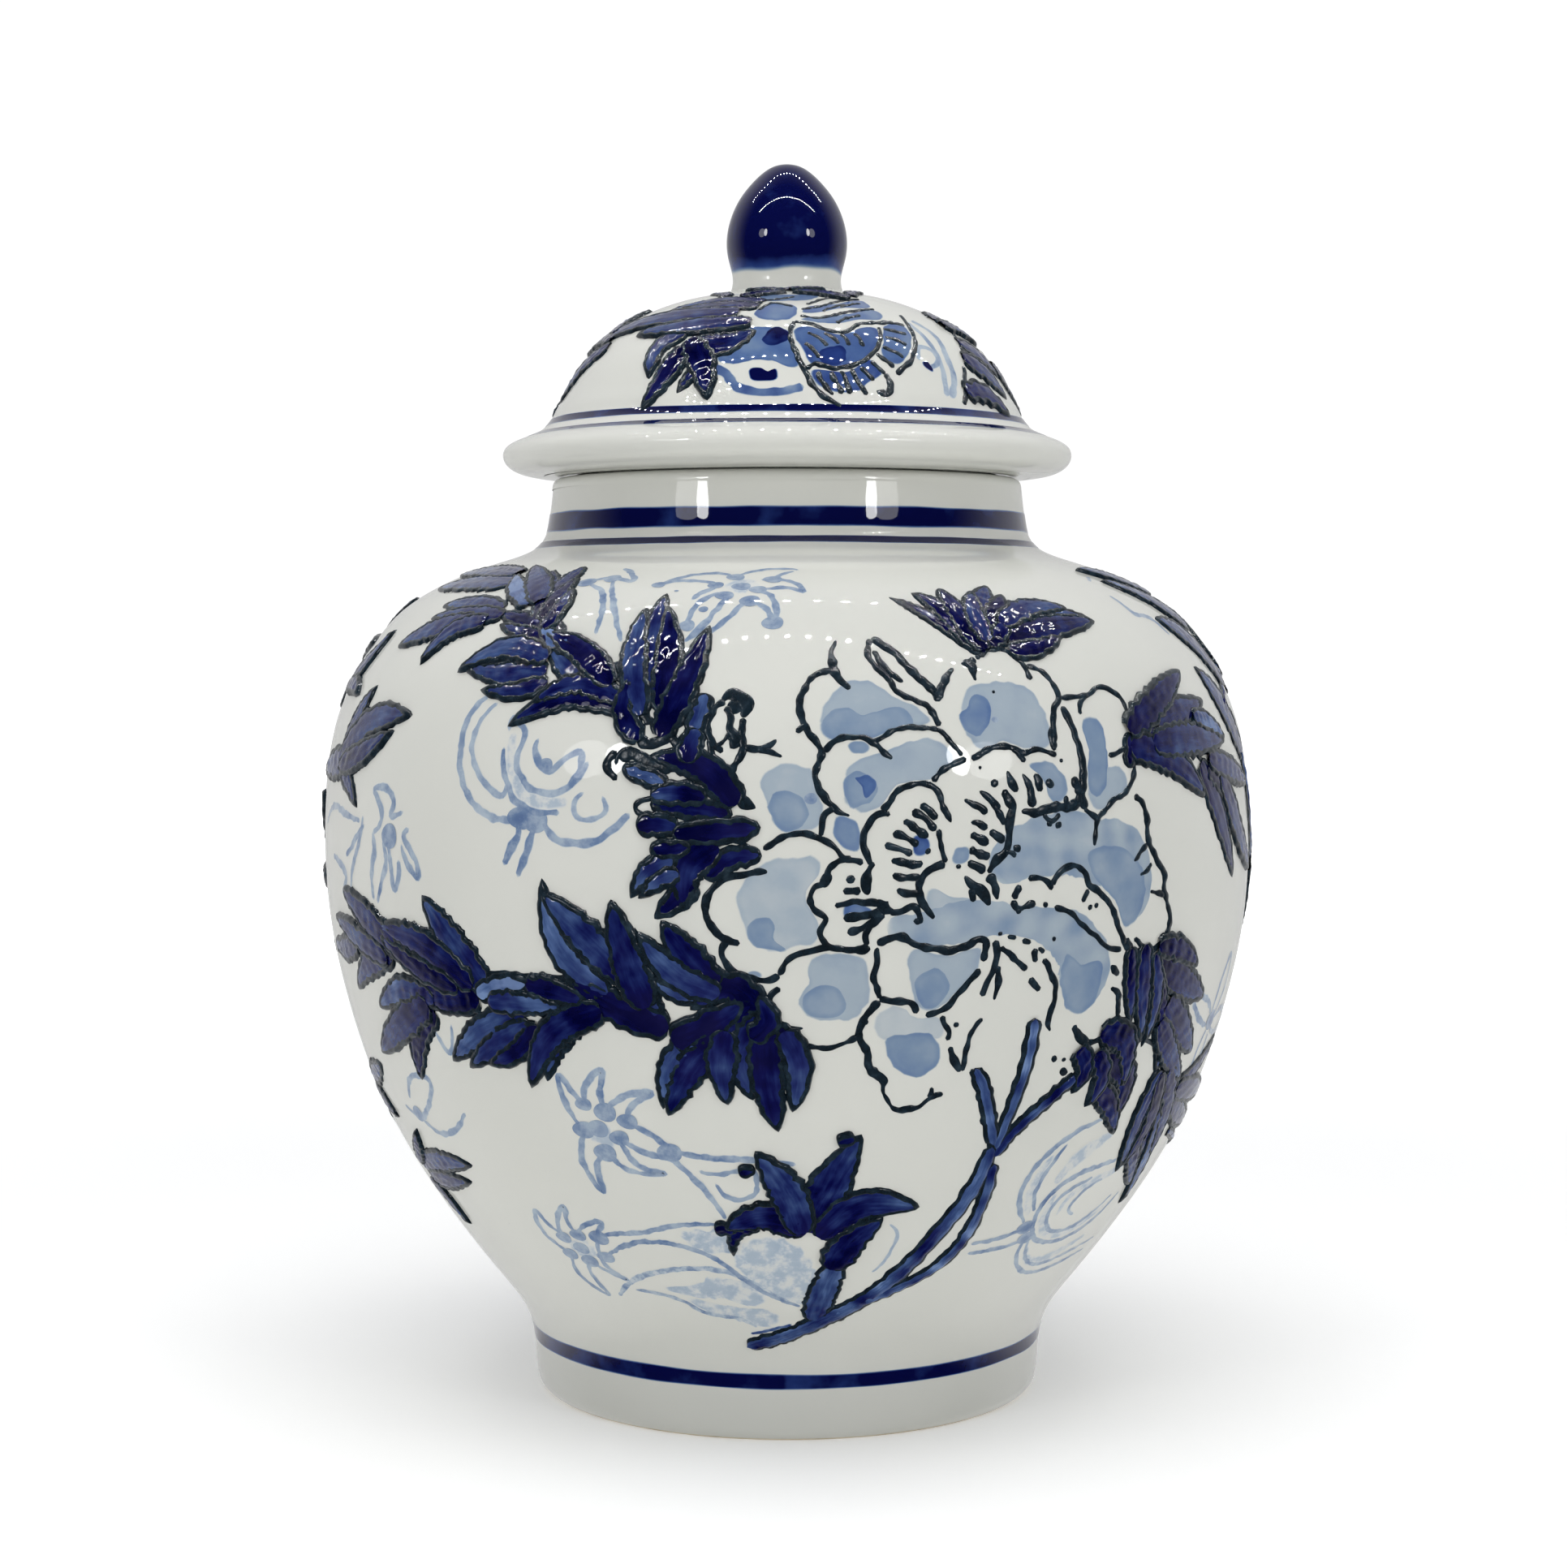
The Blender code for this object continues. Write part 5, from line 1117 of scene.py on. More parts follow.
# pale flowers, fruit and leaves in thin cobalt, as width, ink, sponge and path
paleLines = [
    (1.3, 0.40, 0.3, [(-44.0, -51.5), (-46.5, -46.5), (-46.7, -40.5), (-44.5, -43.5), (-42.0, -46.5)]),
    (1.3, 0.40, 0.3, [(-42.0, -46.5), (-41.0, -42.0), (-37.0, -38.8), (-38.0, -43.0), (-37.5, -48.0)]),
    (1.3, 0.40, 0.3, [(-37.5, -48.0), (-34.0, -44.5), (-27.0, -43.0), (-31.5, -46.0), (-33.0, -50.0)]),
    (1.3, 0.40, 0.3, [(-33.0, -50.0), (-29.0, -52.0), (-24.5, -55.5), (-18.0, -57.3), (-6.0, -58.0), (2.0, -59.0)]),
    (1.3, 0.40, 0.3, [(-36.0, -53.5), (-30.0, -57.0), (-24.5, -58.5), (-21.0, -62.0), (-17.0, -68.0), (-14.0, -74.5)]),
    (1.3, 0.40, 0.3, [(-35.5, -53.5), (-34.0, -58.0), (-31.0, -61.0), (-26.5, -62.0), (-33.0, -62.2), (-37.0, -60.0),
                      (-39.0, -57.5)]),
    (1.3, 0.40, 0.3, [(-39.0, -57.5), (-42.0, -61.0), (-42.3, -68.5), (-45.0, -63.0), (-45.0, -57.0), (-43.0, -52.0)]),
    (1.1, 0.36, 0.2, [(-19.0, -61.0), (-13.0, -61.5), (-7.5, -60.5), (-6.5, -64.0), (-8.0, -67.5), (-13.0, -68.0),
                      (-15.5, -64.0)]),
    (1.3, 0.40, 0.3, [(-60.5, -90.5), (-65.0, -86.0), (-66.5, -81.5), (-65.0, -77.0), (-63.0, -80.5), (-59.5, -83.5)]),
    (1.3, 0.40, 0.3, [(-59.5, -85.5), (-59.5, -80.0), (-55.0, -74.0), (-56.0, -79.0), (-54.5, -83.0)]),
    (1.3, 0.40, 0.3, [(-54.5, -83.0), (-51.0, -79.5), (-45.5, -78.0), (-47.5, -81.0), (-48.5, -83.0)]),
    (1.4, 0.42, 0.3, [(-48.0, -82.5), (-42.0, -81.0), (-35.5, -80.0), (-28.0, -77.5), (-15.0, -76.0)]),
    (1.4, 0.42, 0.3, [(-48.5, -90.0), (-43.0, -86.0), (-35.0, -83.0), (-27.0, -83.5), (-19.0, -87.0), (-13.0, -93.0),
                      (-5.0, -101.0), (4.0, -106.0)]),
    (1.3, 0.40, 0.3, [(-49.0, -84.0), (-50.5, -90.0), (-49.0, -95.0), (-45.0, -98.3), (-50.0, -96.0), (-54.5, -92.5)]),
    (1.3, 0.40, 0.3, [(-54.5, -92.5), (-56.5, -97.0), (-54.5, -106.0), (-59.0, -102.5), (-61.5, -97.0),
                      (-60.0, -90.5)]),
    (1.6, 0.36, 0.7, [(-50.5, -106.0), (-44.0, -99.0), (-36.0, -94.5), (-27.0, -92.0), (-16.0, -92.3), (-11.0, -95.0),
                      (-4.0, -101.0), (2.0, -105.0)]),
    (1.4, 0.36, 0.6, [(-44.0, -102.3), (-36.0, -103.0), (-29.0, -106.0), (-24.0, -110.0), (-14.0, -112.0),
                      (-9.0, -116.0)]),
    (1.4, 0.75, 0.2, [(-11.5, -119.0), (-5.0, -117.0), (1.5, -114.0)]),
    (0.9, 0.26, 0.3, [(24.0, -76.0), (26.5, -80.0), (26.0, -84.0), (24.6, -89.0), (22.0, -93.0)]),
    (1.3, 0.38, 0.3, [(75.0, -53.0), (66.0, -56.0), (59.0, -62.0), (56.5, -68.0), (58.0, -75.0), (62.0, -80.5)]),
    (1.2, 0.36, 0.3, [(65.5, -58.0), (62.0, -65.0), (61.0, -71.0), (63.5, -77.0)]),
    (1.4, 0.42, 0.3, [(87.0, -65.5), (78.0, -66.5), (70.0, -69.0), (65.5, -74.0), (65.0, -80.0), (68.0, -86.0),
                      (76.0, -89.5), (86.0, -88.5), (94.0, -84.0), (99.0, -77.0)]),
    (1.2, 0.36, 0.3, [(80.0, -69.5), (72.0, -72.5), (69.0, -77.0), (71.0, -83.0), (78.0, -86.0), (88.0, -83.0),
                      (95.0, -77.0)]),
    (1.1, 0.34, 0.3, [(85.0, -70.5), (79.0, -73.0), (76.5, -78.0), (80.0, -81.0)]),
    (1.3, 0.38, 0.3, [(65.0, -85.0), (65.5, -92.0), (71.0, -99.0), (80.0, -101.5), (92.0, -100.0), (103.0, -98.0)]),
    (1.2, 0.36, 0.3, [(67.0, -87.0), (69.0, -93.0), (75.0, -97.5), (88.0, -97.0), (105.0, -94.0)]),
    (1.4, 0.42, 0.3, [(63.0, -82.6), (55.0, -84.5), (47.4, -85.2)]),
    (1.4, 0.42, 0.3, [(64.4, -87.0), (55.0, -88.4), (47.6, -88.7)]),
    (1.5, 0.40, 0.3, [(-53.0, 66.0), (-47.0, 68.5), (-40.0, 66.5), (-43.0, 72.0), (-47.0, 75.0)]),
    (1.3, 0.38, 0.3, [(-53.0, 66.0), (-46.0, 61.0), (-42.5, 54.0), (-41.5, 46.5)]),
    (1.3, 0.38, 0.3, [(-46.5, 68.0), (-42.0, 59.0), (-38.5, 52.0), (-35.0, 44.5)]),
    (1.3, 0.40, 0.3, [(-13.5, 68.0), (-16.0, 70.0), (-21.0, 70.5), (-26.0, 69.0), (-29.5, 66.5), (-32.2, 64.0)]),
    (1.3, 0.40, 0.3, [(-32.2, 64.0), (-28.0, 66.0), (-22.0, 66.0), (-18.0, 64.5), (-17.0, 63.5), (-19.0, 61.0),
                      (-21.0, 59.0), (-22.0, 57.0)]),
    (1.3, 0.40, 0.3, [(-21.5, 49.0), (-21.0, 53.0), (-19.0, 57.5), (-15.5, 59.5), (-14.3, 59.0), (-15.0, 55.0),
                      (-17.0, 50.5), (-20.0, 46.0), (-21.5, 44.5)]),
    (1.3, 0.40, 0.3, [(-12.5, 69.0), (-9.0, 71.5), (-5.0, 73.2), (0.0, 73.5), (3.3, 72.7)]),
    (1.3, 0.40, 0.3, [(2.0, 72.0), (-1.5, 69.5), (-3.5, 67.0), (-6.7, 66.7)]),
    (1.3, 0.40, 0.3, [(-3.5, 67.0), (0.0, 66.0), (3.0, 63.0), (3.8, 60.5), (1.0, 62.0), (-3.0, 62.2), (-7.0, 61.5)]),
    (1.3, 0.40, 0.3, [(-7.0, 61.5), (-5.0, 60.0), (-2.8, 56.5), (-2.5, 52.0), (-3.0, 49.5)]),
    (1.3, 0.40, 0.3, [(-3.0, 49.5), (-4.0, 53.0), (-7.0, 56.0), (-8.5, 56.8), (-10.0, 55.5), (-12.0, 52.0),
                      (-15.0, 48.5), (-18.5, 45.0)]),
    (1.3, 0.34, 0.3, [(-62.6, 32.1), (-66.1, 28.8), (-67.2, 21.8), (-65.7, 15.2), (-61.0, 10.1), (-55.0, 8.4),
                      (-51.8, 8.9)]),
    (1.2, 0.36, 0.3, [(-59.8, 30.7), (-62.9, 27.4), (-64.2, 21.9), (-62.6, 17.9), (-58.6, 14.1), (-55.6, 12.9),
                      (-54.6, 15.5)]),
    (1.3, 0.42, 0.3, [(-56.3, 22.1), (-54.8, 15.5), (-51.9, 11.7), (-47.2, 10.0), (-42.7, 10.1)]),
    (1.2, 0.38, 0.3, [(-55.6, 24.8), (-55.0, 27.6), (-51.9, 24.9), (-52.8, 20.8), (-51.5, 16.3), (-47.4, 13.8),
                      (-42.9, 13.9), (-39.4, 16.6), (-37.5, 19.8)]),
    (1.1, 0.38, 0.3, [(-48.5, 23.9), (-48.9, 21.6), (-45.4, 17.7), (-43.3, 19.1), (-39.1, 21.1), (-39.5, 17.2),
                      (-41.5, 14.6)]),
    (1.3, 0.42, 0.3, [(-46.4, 8.7), (-44.9, 6.2), (-41.2, 4.7), (-36.9, 4.8), (-32.1, 7.2), (-28.8, 10.4)]),
    (1.0, 0.40, 0.3, [(-37.8, 14.0), (-39.9, 12.1), (-39.1, 9.5), (-36.3, 9.0), (-33.5, 10.9), (-34.3, 13.5)]),
    (1.0, 0.36, 0.3, [(-46.5, 29.8), (-43.6, 30.5), (-38.7, 28.8)]),
    (1.1, 0.36, 0.3, [(-79.0, -33.1), (-77.3, -36.7), (-76.1, -38.0), (-72.9, -31.7)]),
    (1.4, 0.5, 0.3, [(-51.5, 8.5), (-52.0, 5.0), (-54.0, 2.0), (-55.0, 0.0)]),
    (1.4, 0.5, 0.3, [(-47.8, 8.0), (-49.0, 5.0), (-50.5, 1.0), (-52.0, -2.0)]),
    (1.3, 0.38, 0.3, [(-94.3, 4.3), (-90.4, 6.8), (-91.7, 10.1), (-94.9, 12.2)]),
    (1.3, 0.38, 0.3, [(-94.9, 12.2), (-91.2, 13.2), (-86.2, 9.6), (-87.0, 8.2), (-82.4, 8.8)]),
    (1.3, 0.38, 0.3, [(-80.5, 5.9), (-82.1, 4.5), (-79.3, 0.8), (-77.7, -3.2), (-80.5, -1.6), (-83.3, 2.7)]),
    (1.3, 0.38, 0.3, [(-88.6, 4.9), (-87.2, -0.4), (-85.5, -6.0), (-84.1, -2.8), (-84.3, -0.3)]),
    (1.3, 0.38, 0.3, [(-94.4, 4.5), (-93.5, 2.5), (-94.5, -3.5), (-94.2, -9.0)]),
    (1.3, 0.38, 0.3, [(-90.2, 3.2), (-88.6, -0.4), (-90.0, -3.9), (-92.8, -9.5)]),
    (1.3, 0.38, 0.3, [(-98.8, 7.4), (-100.0, 2.9), (-103.9, -2.8), (-105.6, -7.8)]),
    (1.3, 0.38, 0.3, [(-108.1, -1.4), (-101.8, 2.8), (-98.0, 5.7)]),
    (1.4, 0.36, 0.3, [(-118.1, -1.8), (-112.0, -3.1), (-108.5, -5.2), (-111.8, -9.0)]),
    (1.3, 0.34, 0.3, [(-127.0, 4.0), (-118.0, 8.0), (-108.0, 7.0), (-100.0, 6.0)]),
    (1.3, 0.38, 0.3, [(112.0, -34.0), (106.0, -30.0), (99.0, -29.4), (104.0, -34.0), (111.0, -36.4)]),
    (1.3, 0.38, 0.3, [(113.0, -34.0), (114.0, -28.0), (119.0, -22.0), (120.0, -28.0), (115.6, -34.4)]),
    (1.3, 0.38, 0.3, [(116.0, -35.4), (123.0, -34.0), (130.0, -37.0), (123.0, -39.4), (115.0, -37.4)]),
    (1.3, 0.38, 0.3, [(112.4, -37.4), (109.4, -43.0), (110.0, -48.0), (114.4, -43.0), (114.6, -38.4)]),
    (1.4, 0.36, 0.3, [(93.0, 60.0), (94.0, 56.0), (95.0, 53.0), (100.0, 52.0), (106.0, 46.0)]),
    (1.3, 0.36, 0.3, [(95.0, 67.0), (98.0, 69.4), (100.0, 70.0)]),
    (1.3, 0.36, 0.3, [(-99.0, -52.0), (-94.0, -46.0), (-86.0, -46.0), (-90.0, -52.0), (-97.0, -56.0), (-104.0, -54.0)]),
    (1.3, 0.36, 0.3, [(-97.0, -56.0), (-90.0, -59.0), (-82.0, -57.0), (-76.0, -52.0)]),
    (1.3, 0.34, 0.3, [(138.0, 66.0), (145.0, 70.0), (152.0, 68.0), (158.0, 72.0)]),
    (1.3, 0.34, 0.3, [(136.0, -30.0), (143.0, -36.0), (146.0, -44.0), (142.0, -50.0), (136.0, -48.0)]),
    (1.3, 0.34, 0.3, [(148.0, -30.0), (152.0, -38.0), (160.0, -42.0), (164.0, -36.0)]),
]

# where the brush rested and the line is dark
darkJoints = [
    (-43.6, -52.4, 1.2), (-39.4, -57.6, 1.3), (-35.6, -53.7, 1.2), (-33.0, -49.6, 1.2), (-24.6, -56.6, 1.3),
    (-42.2, -46.6, 1.0), (-37.6, -48.0, 1.0), (-39.8, -51.8, 1.2), (-55.5, -88.0, 1.2), (-59.8, -84.6, 1.2),
    (-54.6, -83.2, 1.1), (-48.4, -83.2, 1.3), (-48.8, -90.0, 1.2), (-54.6, -92.6, 1.2), (-60.3, -90.6, 1.2),
    (-11.0, 63.0, 1.3), (-13.2, 68.2, 1.3), (-3.5, 67.0, 1.2), (-7.0, 61.5, 1.1), (-17.2, 63.6, 1.1),
    (-14.4, 59.0, 1.1), (-8.6, 56.8, 1.1), (-3.0, 49.6, 1.1), (-32.0, 64.1, 1.0), (-21.6, 49.0, 1.0),
    (-51.4, 8.8, 1.3), (-47.7, 8.2, 1.3), (-53.0, 66.2, 1.3), (-46.6, 68.2, 1.2), (63.2, -82.0, 1.3),
    (65.2, -86.2, 1.3), (-87.5, 4.0, 1.4), (113.6, -35.6, 1.4), (-26.4, 61.0, 0.4), (-18.5, 53.8, 0.4),
    (4.3, 13.2, 0.4), (40.3, 27.5, 0.35), (-46.4, 18.8, 1.0), (-97.4, -55.6, 1.2),
]

# dabs of a cobalt sponge, as ink and outline
spongedPatches = [
    (0.34, [(-26.0, -79.6), (-20.0, -77.6), (-13.0, -78.4), (-11.0, -84.4), (-16.0, -86.0), (-22.0, -84.6)]),
    (0.3, [(-14.0, -86.0), (-7.0, -80.0), (1.0, -81.4), (6.0, -88.0), (8.4, -97.0), (7.4, -105.6), (2.0, -104.6),
           (-5.0, -99.6), (-11.0, -93.4)]),
    (0.3, [(-35.0, -100.0), (-28.0, -98.6), (-20.0, -94.8), (-12.0, -95.4), (-5.0, -101.0), (-8.0, -106.0),
           (-16.0, -104.0), (-26.0, -103.4)]),
    (0.28, [(-29.0, -104.0), (-20.0, -105.4), (-12.0, -107.0), (-4.0, -108.4), (-2.0, -112.6), (-9.0, -115.6),
            (-15.0, -112.4), (-23.0, -110.0)]),
    (0.24, [(-41.6, -55.4), (-38.0, -56.4), (-36.4, -53.8), (-38.6, -50.6), (-42.2, -51.6)]),
    (0.24, [(-58.0, -90.4), (-53.4, -91.6), (-50.6, -87.6), (-53.6, -84.6), (-58.0, -85.6)]),
    (0.24, [(-13.6, 66.4), (-9.0, 67.0), (-6.6, 63.6), (-9.4, 60.0), (-13.4, 60.6), (-15.0, 63.4)]),
]

# the same sponge drawn along a curve, as ink and path with the width along it
spongedBands = [
    (0.26, [(-54.4, 25.0, 1.6), (-54.0, 19.0, 3.0), (-51.6, 14.2, 3.4), (-46.6, 11.9, 3.0), (-41.0, 12.2, 1.6)]),
    (0.26, [(68.6, -72.0, 1.6), (67.6, -78.0, 3.0), (70.4, -84.0, 3.6), (77.6, -87.0, 3.4), (87.0, -85.0, 2.6),
            (94.6, -80.6, 1.2)]),
    (0.24, [(62.6, -60.6, 1.4), (60.0, -66.0, 3.2), (59.8, -72.0, 3.4), (62.0, -78.0, 1.6)]),
    (0.26, [(80.6, -57.0, 2.0), (74.0, -60.4, 4.6), (68.4, -65.0, 4.0), (66.4, -69.4, 2.0)]),
    (0.26, [(93.0, -67.0, 1.6), (86.0, -69.6, 3.2), (79.4, -71.0, 3.0), (73.6, -75.0, 2.4), (72.6, -80.0, 1.4)]),
    (0.26, [(68.0, -89.4, 1.2), (69.6, -93.6, 2.8), (76.0, -96.4, 3.6), (85.0, -94.6, 3.2), (95.0, -91.0, 1.6)]),
]


def atHeight(skin, z):
    # how far up the design plane a height on the pot is, counted on the outer wall
    order = np.argsort(skin["z"])
    return np.interp(z, skin["z"][order], skin["up"][order])


def addRing(heap, skin, low, high, ink, tilt, thin, seed):
    # a ring ruled on the turning wheel; it may sit a little slant, and be thinner on one side
    v = np.array([0.0, 0.06, 0.12, 0.3, 0.5, 0.7, 0.88, 0.94, 1.0])[:, None]
    level = np.array([0.0, 0.6, 1.0, 1.0, 1.0, 1.0, 1.0, 0.6, 0.0])[:, None]
    turn = np.linspace(0.0, 2.0 * np.pi, 360, endpoint=False)[None, :]
    x = turn * skin["radius"]
    roundX, roundY = np.cos(turn) * 60.0, np.sin(turn) * 60.0
    wander = 0.05 * waves(roundX, roundY, 40.0, seed)
    middle = 0.5 * (low + high) + tilt * np.sin(turn) + wander
    half = 0.5 * (high - low) * (1.0 - thin * np.sin(turn) + 0.05 * waves(roundX, roundY, 22.0, seed + 1))
    y = atHeight(skin, middle + half * (2.0 * v - 1.0))
    tone = ink * level * (1.0 + 0.1 * waves(x, y, 30.0, seed + 2))
    normals = skinNormal(skin, x, y)
    addGrid(heap, place(skin, x, y, inkLift(tone)), normals, True, normals=normals, ink=tone, sponge=0.0)


# ruled rings, as lowest and highest place, ink, slant, thinning on one side, and seed
jarRings = [(10.6, 14.0, 1.0, -0.15, 0.12, 3), (174.85, 176.25, 1.25, 0.0, 0.0, 5), (178.0, 182.2, 1.05, 0.0, 0.0, 7)]
lidRings = [(200.0, 201.6, 1.0, 0.0, 0.0, 11), (197.75, 198.7, 1.0, 0.0, 0.0, 13)]


def makePaleFlowers():
    # thin brushed lines that swell in the middle, drops where they meet, dabbed patches, and the jar's rings
    for side, shift in (("Front", 0.0), ("Back", backTurn)):
        heap = newHeap()
        for seed, (width, ink, sponge, points) in enumerate(paleLines):
            line = [(*p[:2], width * (0.75 if i in (0, len(points) - 1) else 1.3)) for i, p in enumerate(points)]
            addBrush(heap, jarSkin, line, width, ink + 0.12, seed, 0.14, shift, sponge=sponge)
        for seed, (x, y, size) in enumerate(darkJoints):
            ring = [(x + 0.6 * size * math.cos(a), y + 0.45 * size * math.sin(a)) for a in (0.0, 1.3, 2.5, 3.8, 5.0)]
            addWash(heap, jarSkin, ring, 0.5, seed + 40, shift, feather=0.6 * size, ragged=0.1, sponge=0.3)
        for seed, (ink, outline) in enumerate(spongedPatches):
            addWash(heap, jarSkin, outline, ink, seed + 70, shift, feather=0.8, sponge=0.75, ragged=0.7, pool=0.0)
        for seed, (ink, points) in enumerate(spongedBands):
            addBrush(heap, jarSkin, points, 3.0, ink, seed + 110, 0.1, shift, feather=0.9, sponge=0.75)
        finishHeap("paleFlowers" + side, heap, painted, "jar", True)
    rings = newHeap()
    for ring in jarRings:
        addRing(rings, jarSkin, *ring)
    finishHeap("ruledRings", rings, painted, "jar", True)


makePaleFlowers()


# the lid's own decoration

lidLobes = [
    (-8.0, 38.4, -25.0, 40.4, -39.0, 35.0, 6.0, 0.6), (-9.0, 33.6, -22.0, 35.2, -37.0, 30.6, 5.6, 0.7),
    (-14.0, 29.6, -40.0, 28.6, -67.0, 21.0, 7.4, 0.62), (-9.6, 24.2, -22.0, 23.6, -40.0, 21.8, 6.0, 0.6),
    (-20.6, 17.4, -14.6, 17.0, -9.0, 20.2, 6.4, 0.75), (-25.6, 21.0, -30.6, 17.0, -30.6, 10.6, 5.2, 0.55),
    (-23.6, 15.4, -26.4, 8.4, -28.6, 2.8, 5.0, 0.9), (-22.4, 17.6, -18.2, 11.6, -16.0, 5.0, 5.6, 0.92),
    (-17.0, 11.4, -20.0, 9.0, -21.4, 6.6, 3.0, 0.9),
    (-52.0, 18.6, -60.0, 14.0, -66.0, 7.0, 5.0, 0.6), (-54.0, 22.0, -63.0, 23.0, -73.0, 19.0, 5.0, 0.7),
    (-57.0, 25.0, -64.0, 31.0, -68.0, 39.0, 5.4, 0.6),
    (49.6, 19.6, 55.6, 17.6, 61.0, 12.6, 5.6, 0.6), (46.0, 14.6, 52.4, 12.0, 58.0, 7.2, 5.4, 0.65),
    (41.0, 6.0, 47.0, 6.2, 53.4, 2.4, 4.8, 0.7), (50.6, 27.0, 57.0, 26.6, 63.0, 22.0, 5.4, 0.6),
    (51.0, 31.0, 58.0, 34.0, 66.0, 33.0, 5.4, 0.65), (63.0, 14.0, 70.0, 10.0, 76.0, 4.0, 5.0, 0.7),
    (-16.0, 43.4, -10.0, 48.0, -2.0, 50.0, 5.6, 0.8), (22.0, 42.0, 14.0, 47.6, 4.0, 50.0, 5.4, 0.75),
    (-24.0, 46.0, -29.0, 52.0, -37.0, 54.0, 5.4, 0.7), (26.0, 47.0, 31.0, 54.0, 40.0, 57.0, 5.4, 0.7),
    (-2.0, 56.0, -10.0, 60.0, -20.0, 60.0, 5.0, 0.7), (2.0, 57.0, 10.0, 62.0, 20.0, 63.0, 5.0, 0.7),
    (0.0, 59.0, 0.0, 66.0, 4.0, 73.0, 5.0, 0.6),
]
lidLines = [
    (1.3, [(1.8, 25.2), (0.7, 18.6), (2.4, 12.8), (4.2, 8.2), (6.4, 4.2), (10.6, 1.4, 0.8)]),
    (1.3, [(34.8, 30.6), (33.4, 23.0), (31.1, 17.2), (27.0, 12.0), (23.2, 9.4)]),
    (1.5, [(20.6, 9.4), (21.4, 7.0), (19.6, 4.6), (17.8, 5.2, 0.8)]),
    (1.2, [(6.2, 9.6), (7.2, 6.6), (8.8, 3.8)]), (1.3, [(9.0, 9.6), (9.8, 7.0), (10.8, 4.2)]),
    (1.2, [(11.2, 9.8), (11.8, 7.2), (12.4, 4.2)]), (1.2, [(13.2, 10.2), (14.4, 7.2), (15.6, 4.0)]),
    (1.2, [(15.4, 10.8), (16.6, 9.2), (18.0, 7.6)]), (1.2, [(17.8, 12.2), (19.4, 10.6), (20.8, 9.2)]),
    (1.2, [(19.8, 14.4), (21.6, 12.6), (23.2, 10.8)]), (1.2, [(21.8, 16.4), (24.2, 15.2), (26.4, 13.4)]),
    (1.2, [(23.6, 19.4), (26.2, 18.8), (28.8, 17.2)]), (1.2, [(24.4, 22.6), (27.4, 22.0), (30.6, 20.8)]),
    (1.3, [(25.2, 25.8), (28.6, 25.6), (32.4, 24.8)]),
    (1.2, [(4.0, 9.8), (6.0, 11.4), (9.0, 10.4), (12.0, 10.6), (15.0, 11.6), (18.0, 13.4), (20.4, 16.0),
           (22.4, 19.4), (23.6, 23.4)]),
    (1.3, [(1.8, 25.0), (6.0, 24.0), (10.4, 21.2), (14.8, 21.4), (18.0, 24.0), (23.6, 25.2), (29.4, 26.2)]),
    (1.2, [(3.4, 28.0), (9.0, 27.0), (14.0, 29.2), (20.0, 31.6), (27.4, 33.4)]),
    (1.2, [(4.0, 31.8), (8.6, 33.4), (14.0, 37.0), (20.0, 40.4), (27.0, 42.8)]),
    (1.2, [(6.0, 35.6), (10.6, 39.6), (15.4, 43.4)]), (1.1, [(10.0, 30.6), (14.4, 34.0), (18.6, 36.4)]),
    (1.1, [(16.0, 33.4), (20.0, 36.0), (25.0, 38.0)]), (1.1, [(12.4, 24.6), (16.0, 27.0), (20.6, 28.8)]),
    (1.1, [(4.6, 20.4), (7.2, 18.6), (9.0, 16.0)]), (1.1, [(3.8, 17.0), (5.8, 15.0), (6.8, 12.6)]),
    (1.1, [(8.6, 20.6), (10.6, 18.8), (11.6, 16.6)]), (1.1, [(12.4, 20.0), (13.6, 18.4), (14.0, 16.2)]),
    (1.1, [(16.0, 20.6), (17.0, 18.2), (17.2, 16.0)]), (1.2, [(-14.6, 43.0), (-9.0, 39.0), (-3.0, 40.6), (3.0, 43.6)]),
    (1.2, [(-8.0, 31.0), (-4.6, 36.4), (2.0, 33.6)]), (1.3, [(44.0, 12.6), (42.0, 8.4), (38.4, 3.0)]),
    (1.2, [(52.6, 25.0), (49.6, 19.4), (45.6, 14.4)]),
]
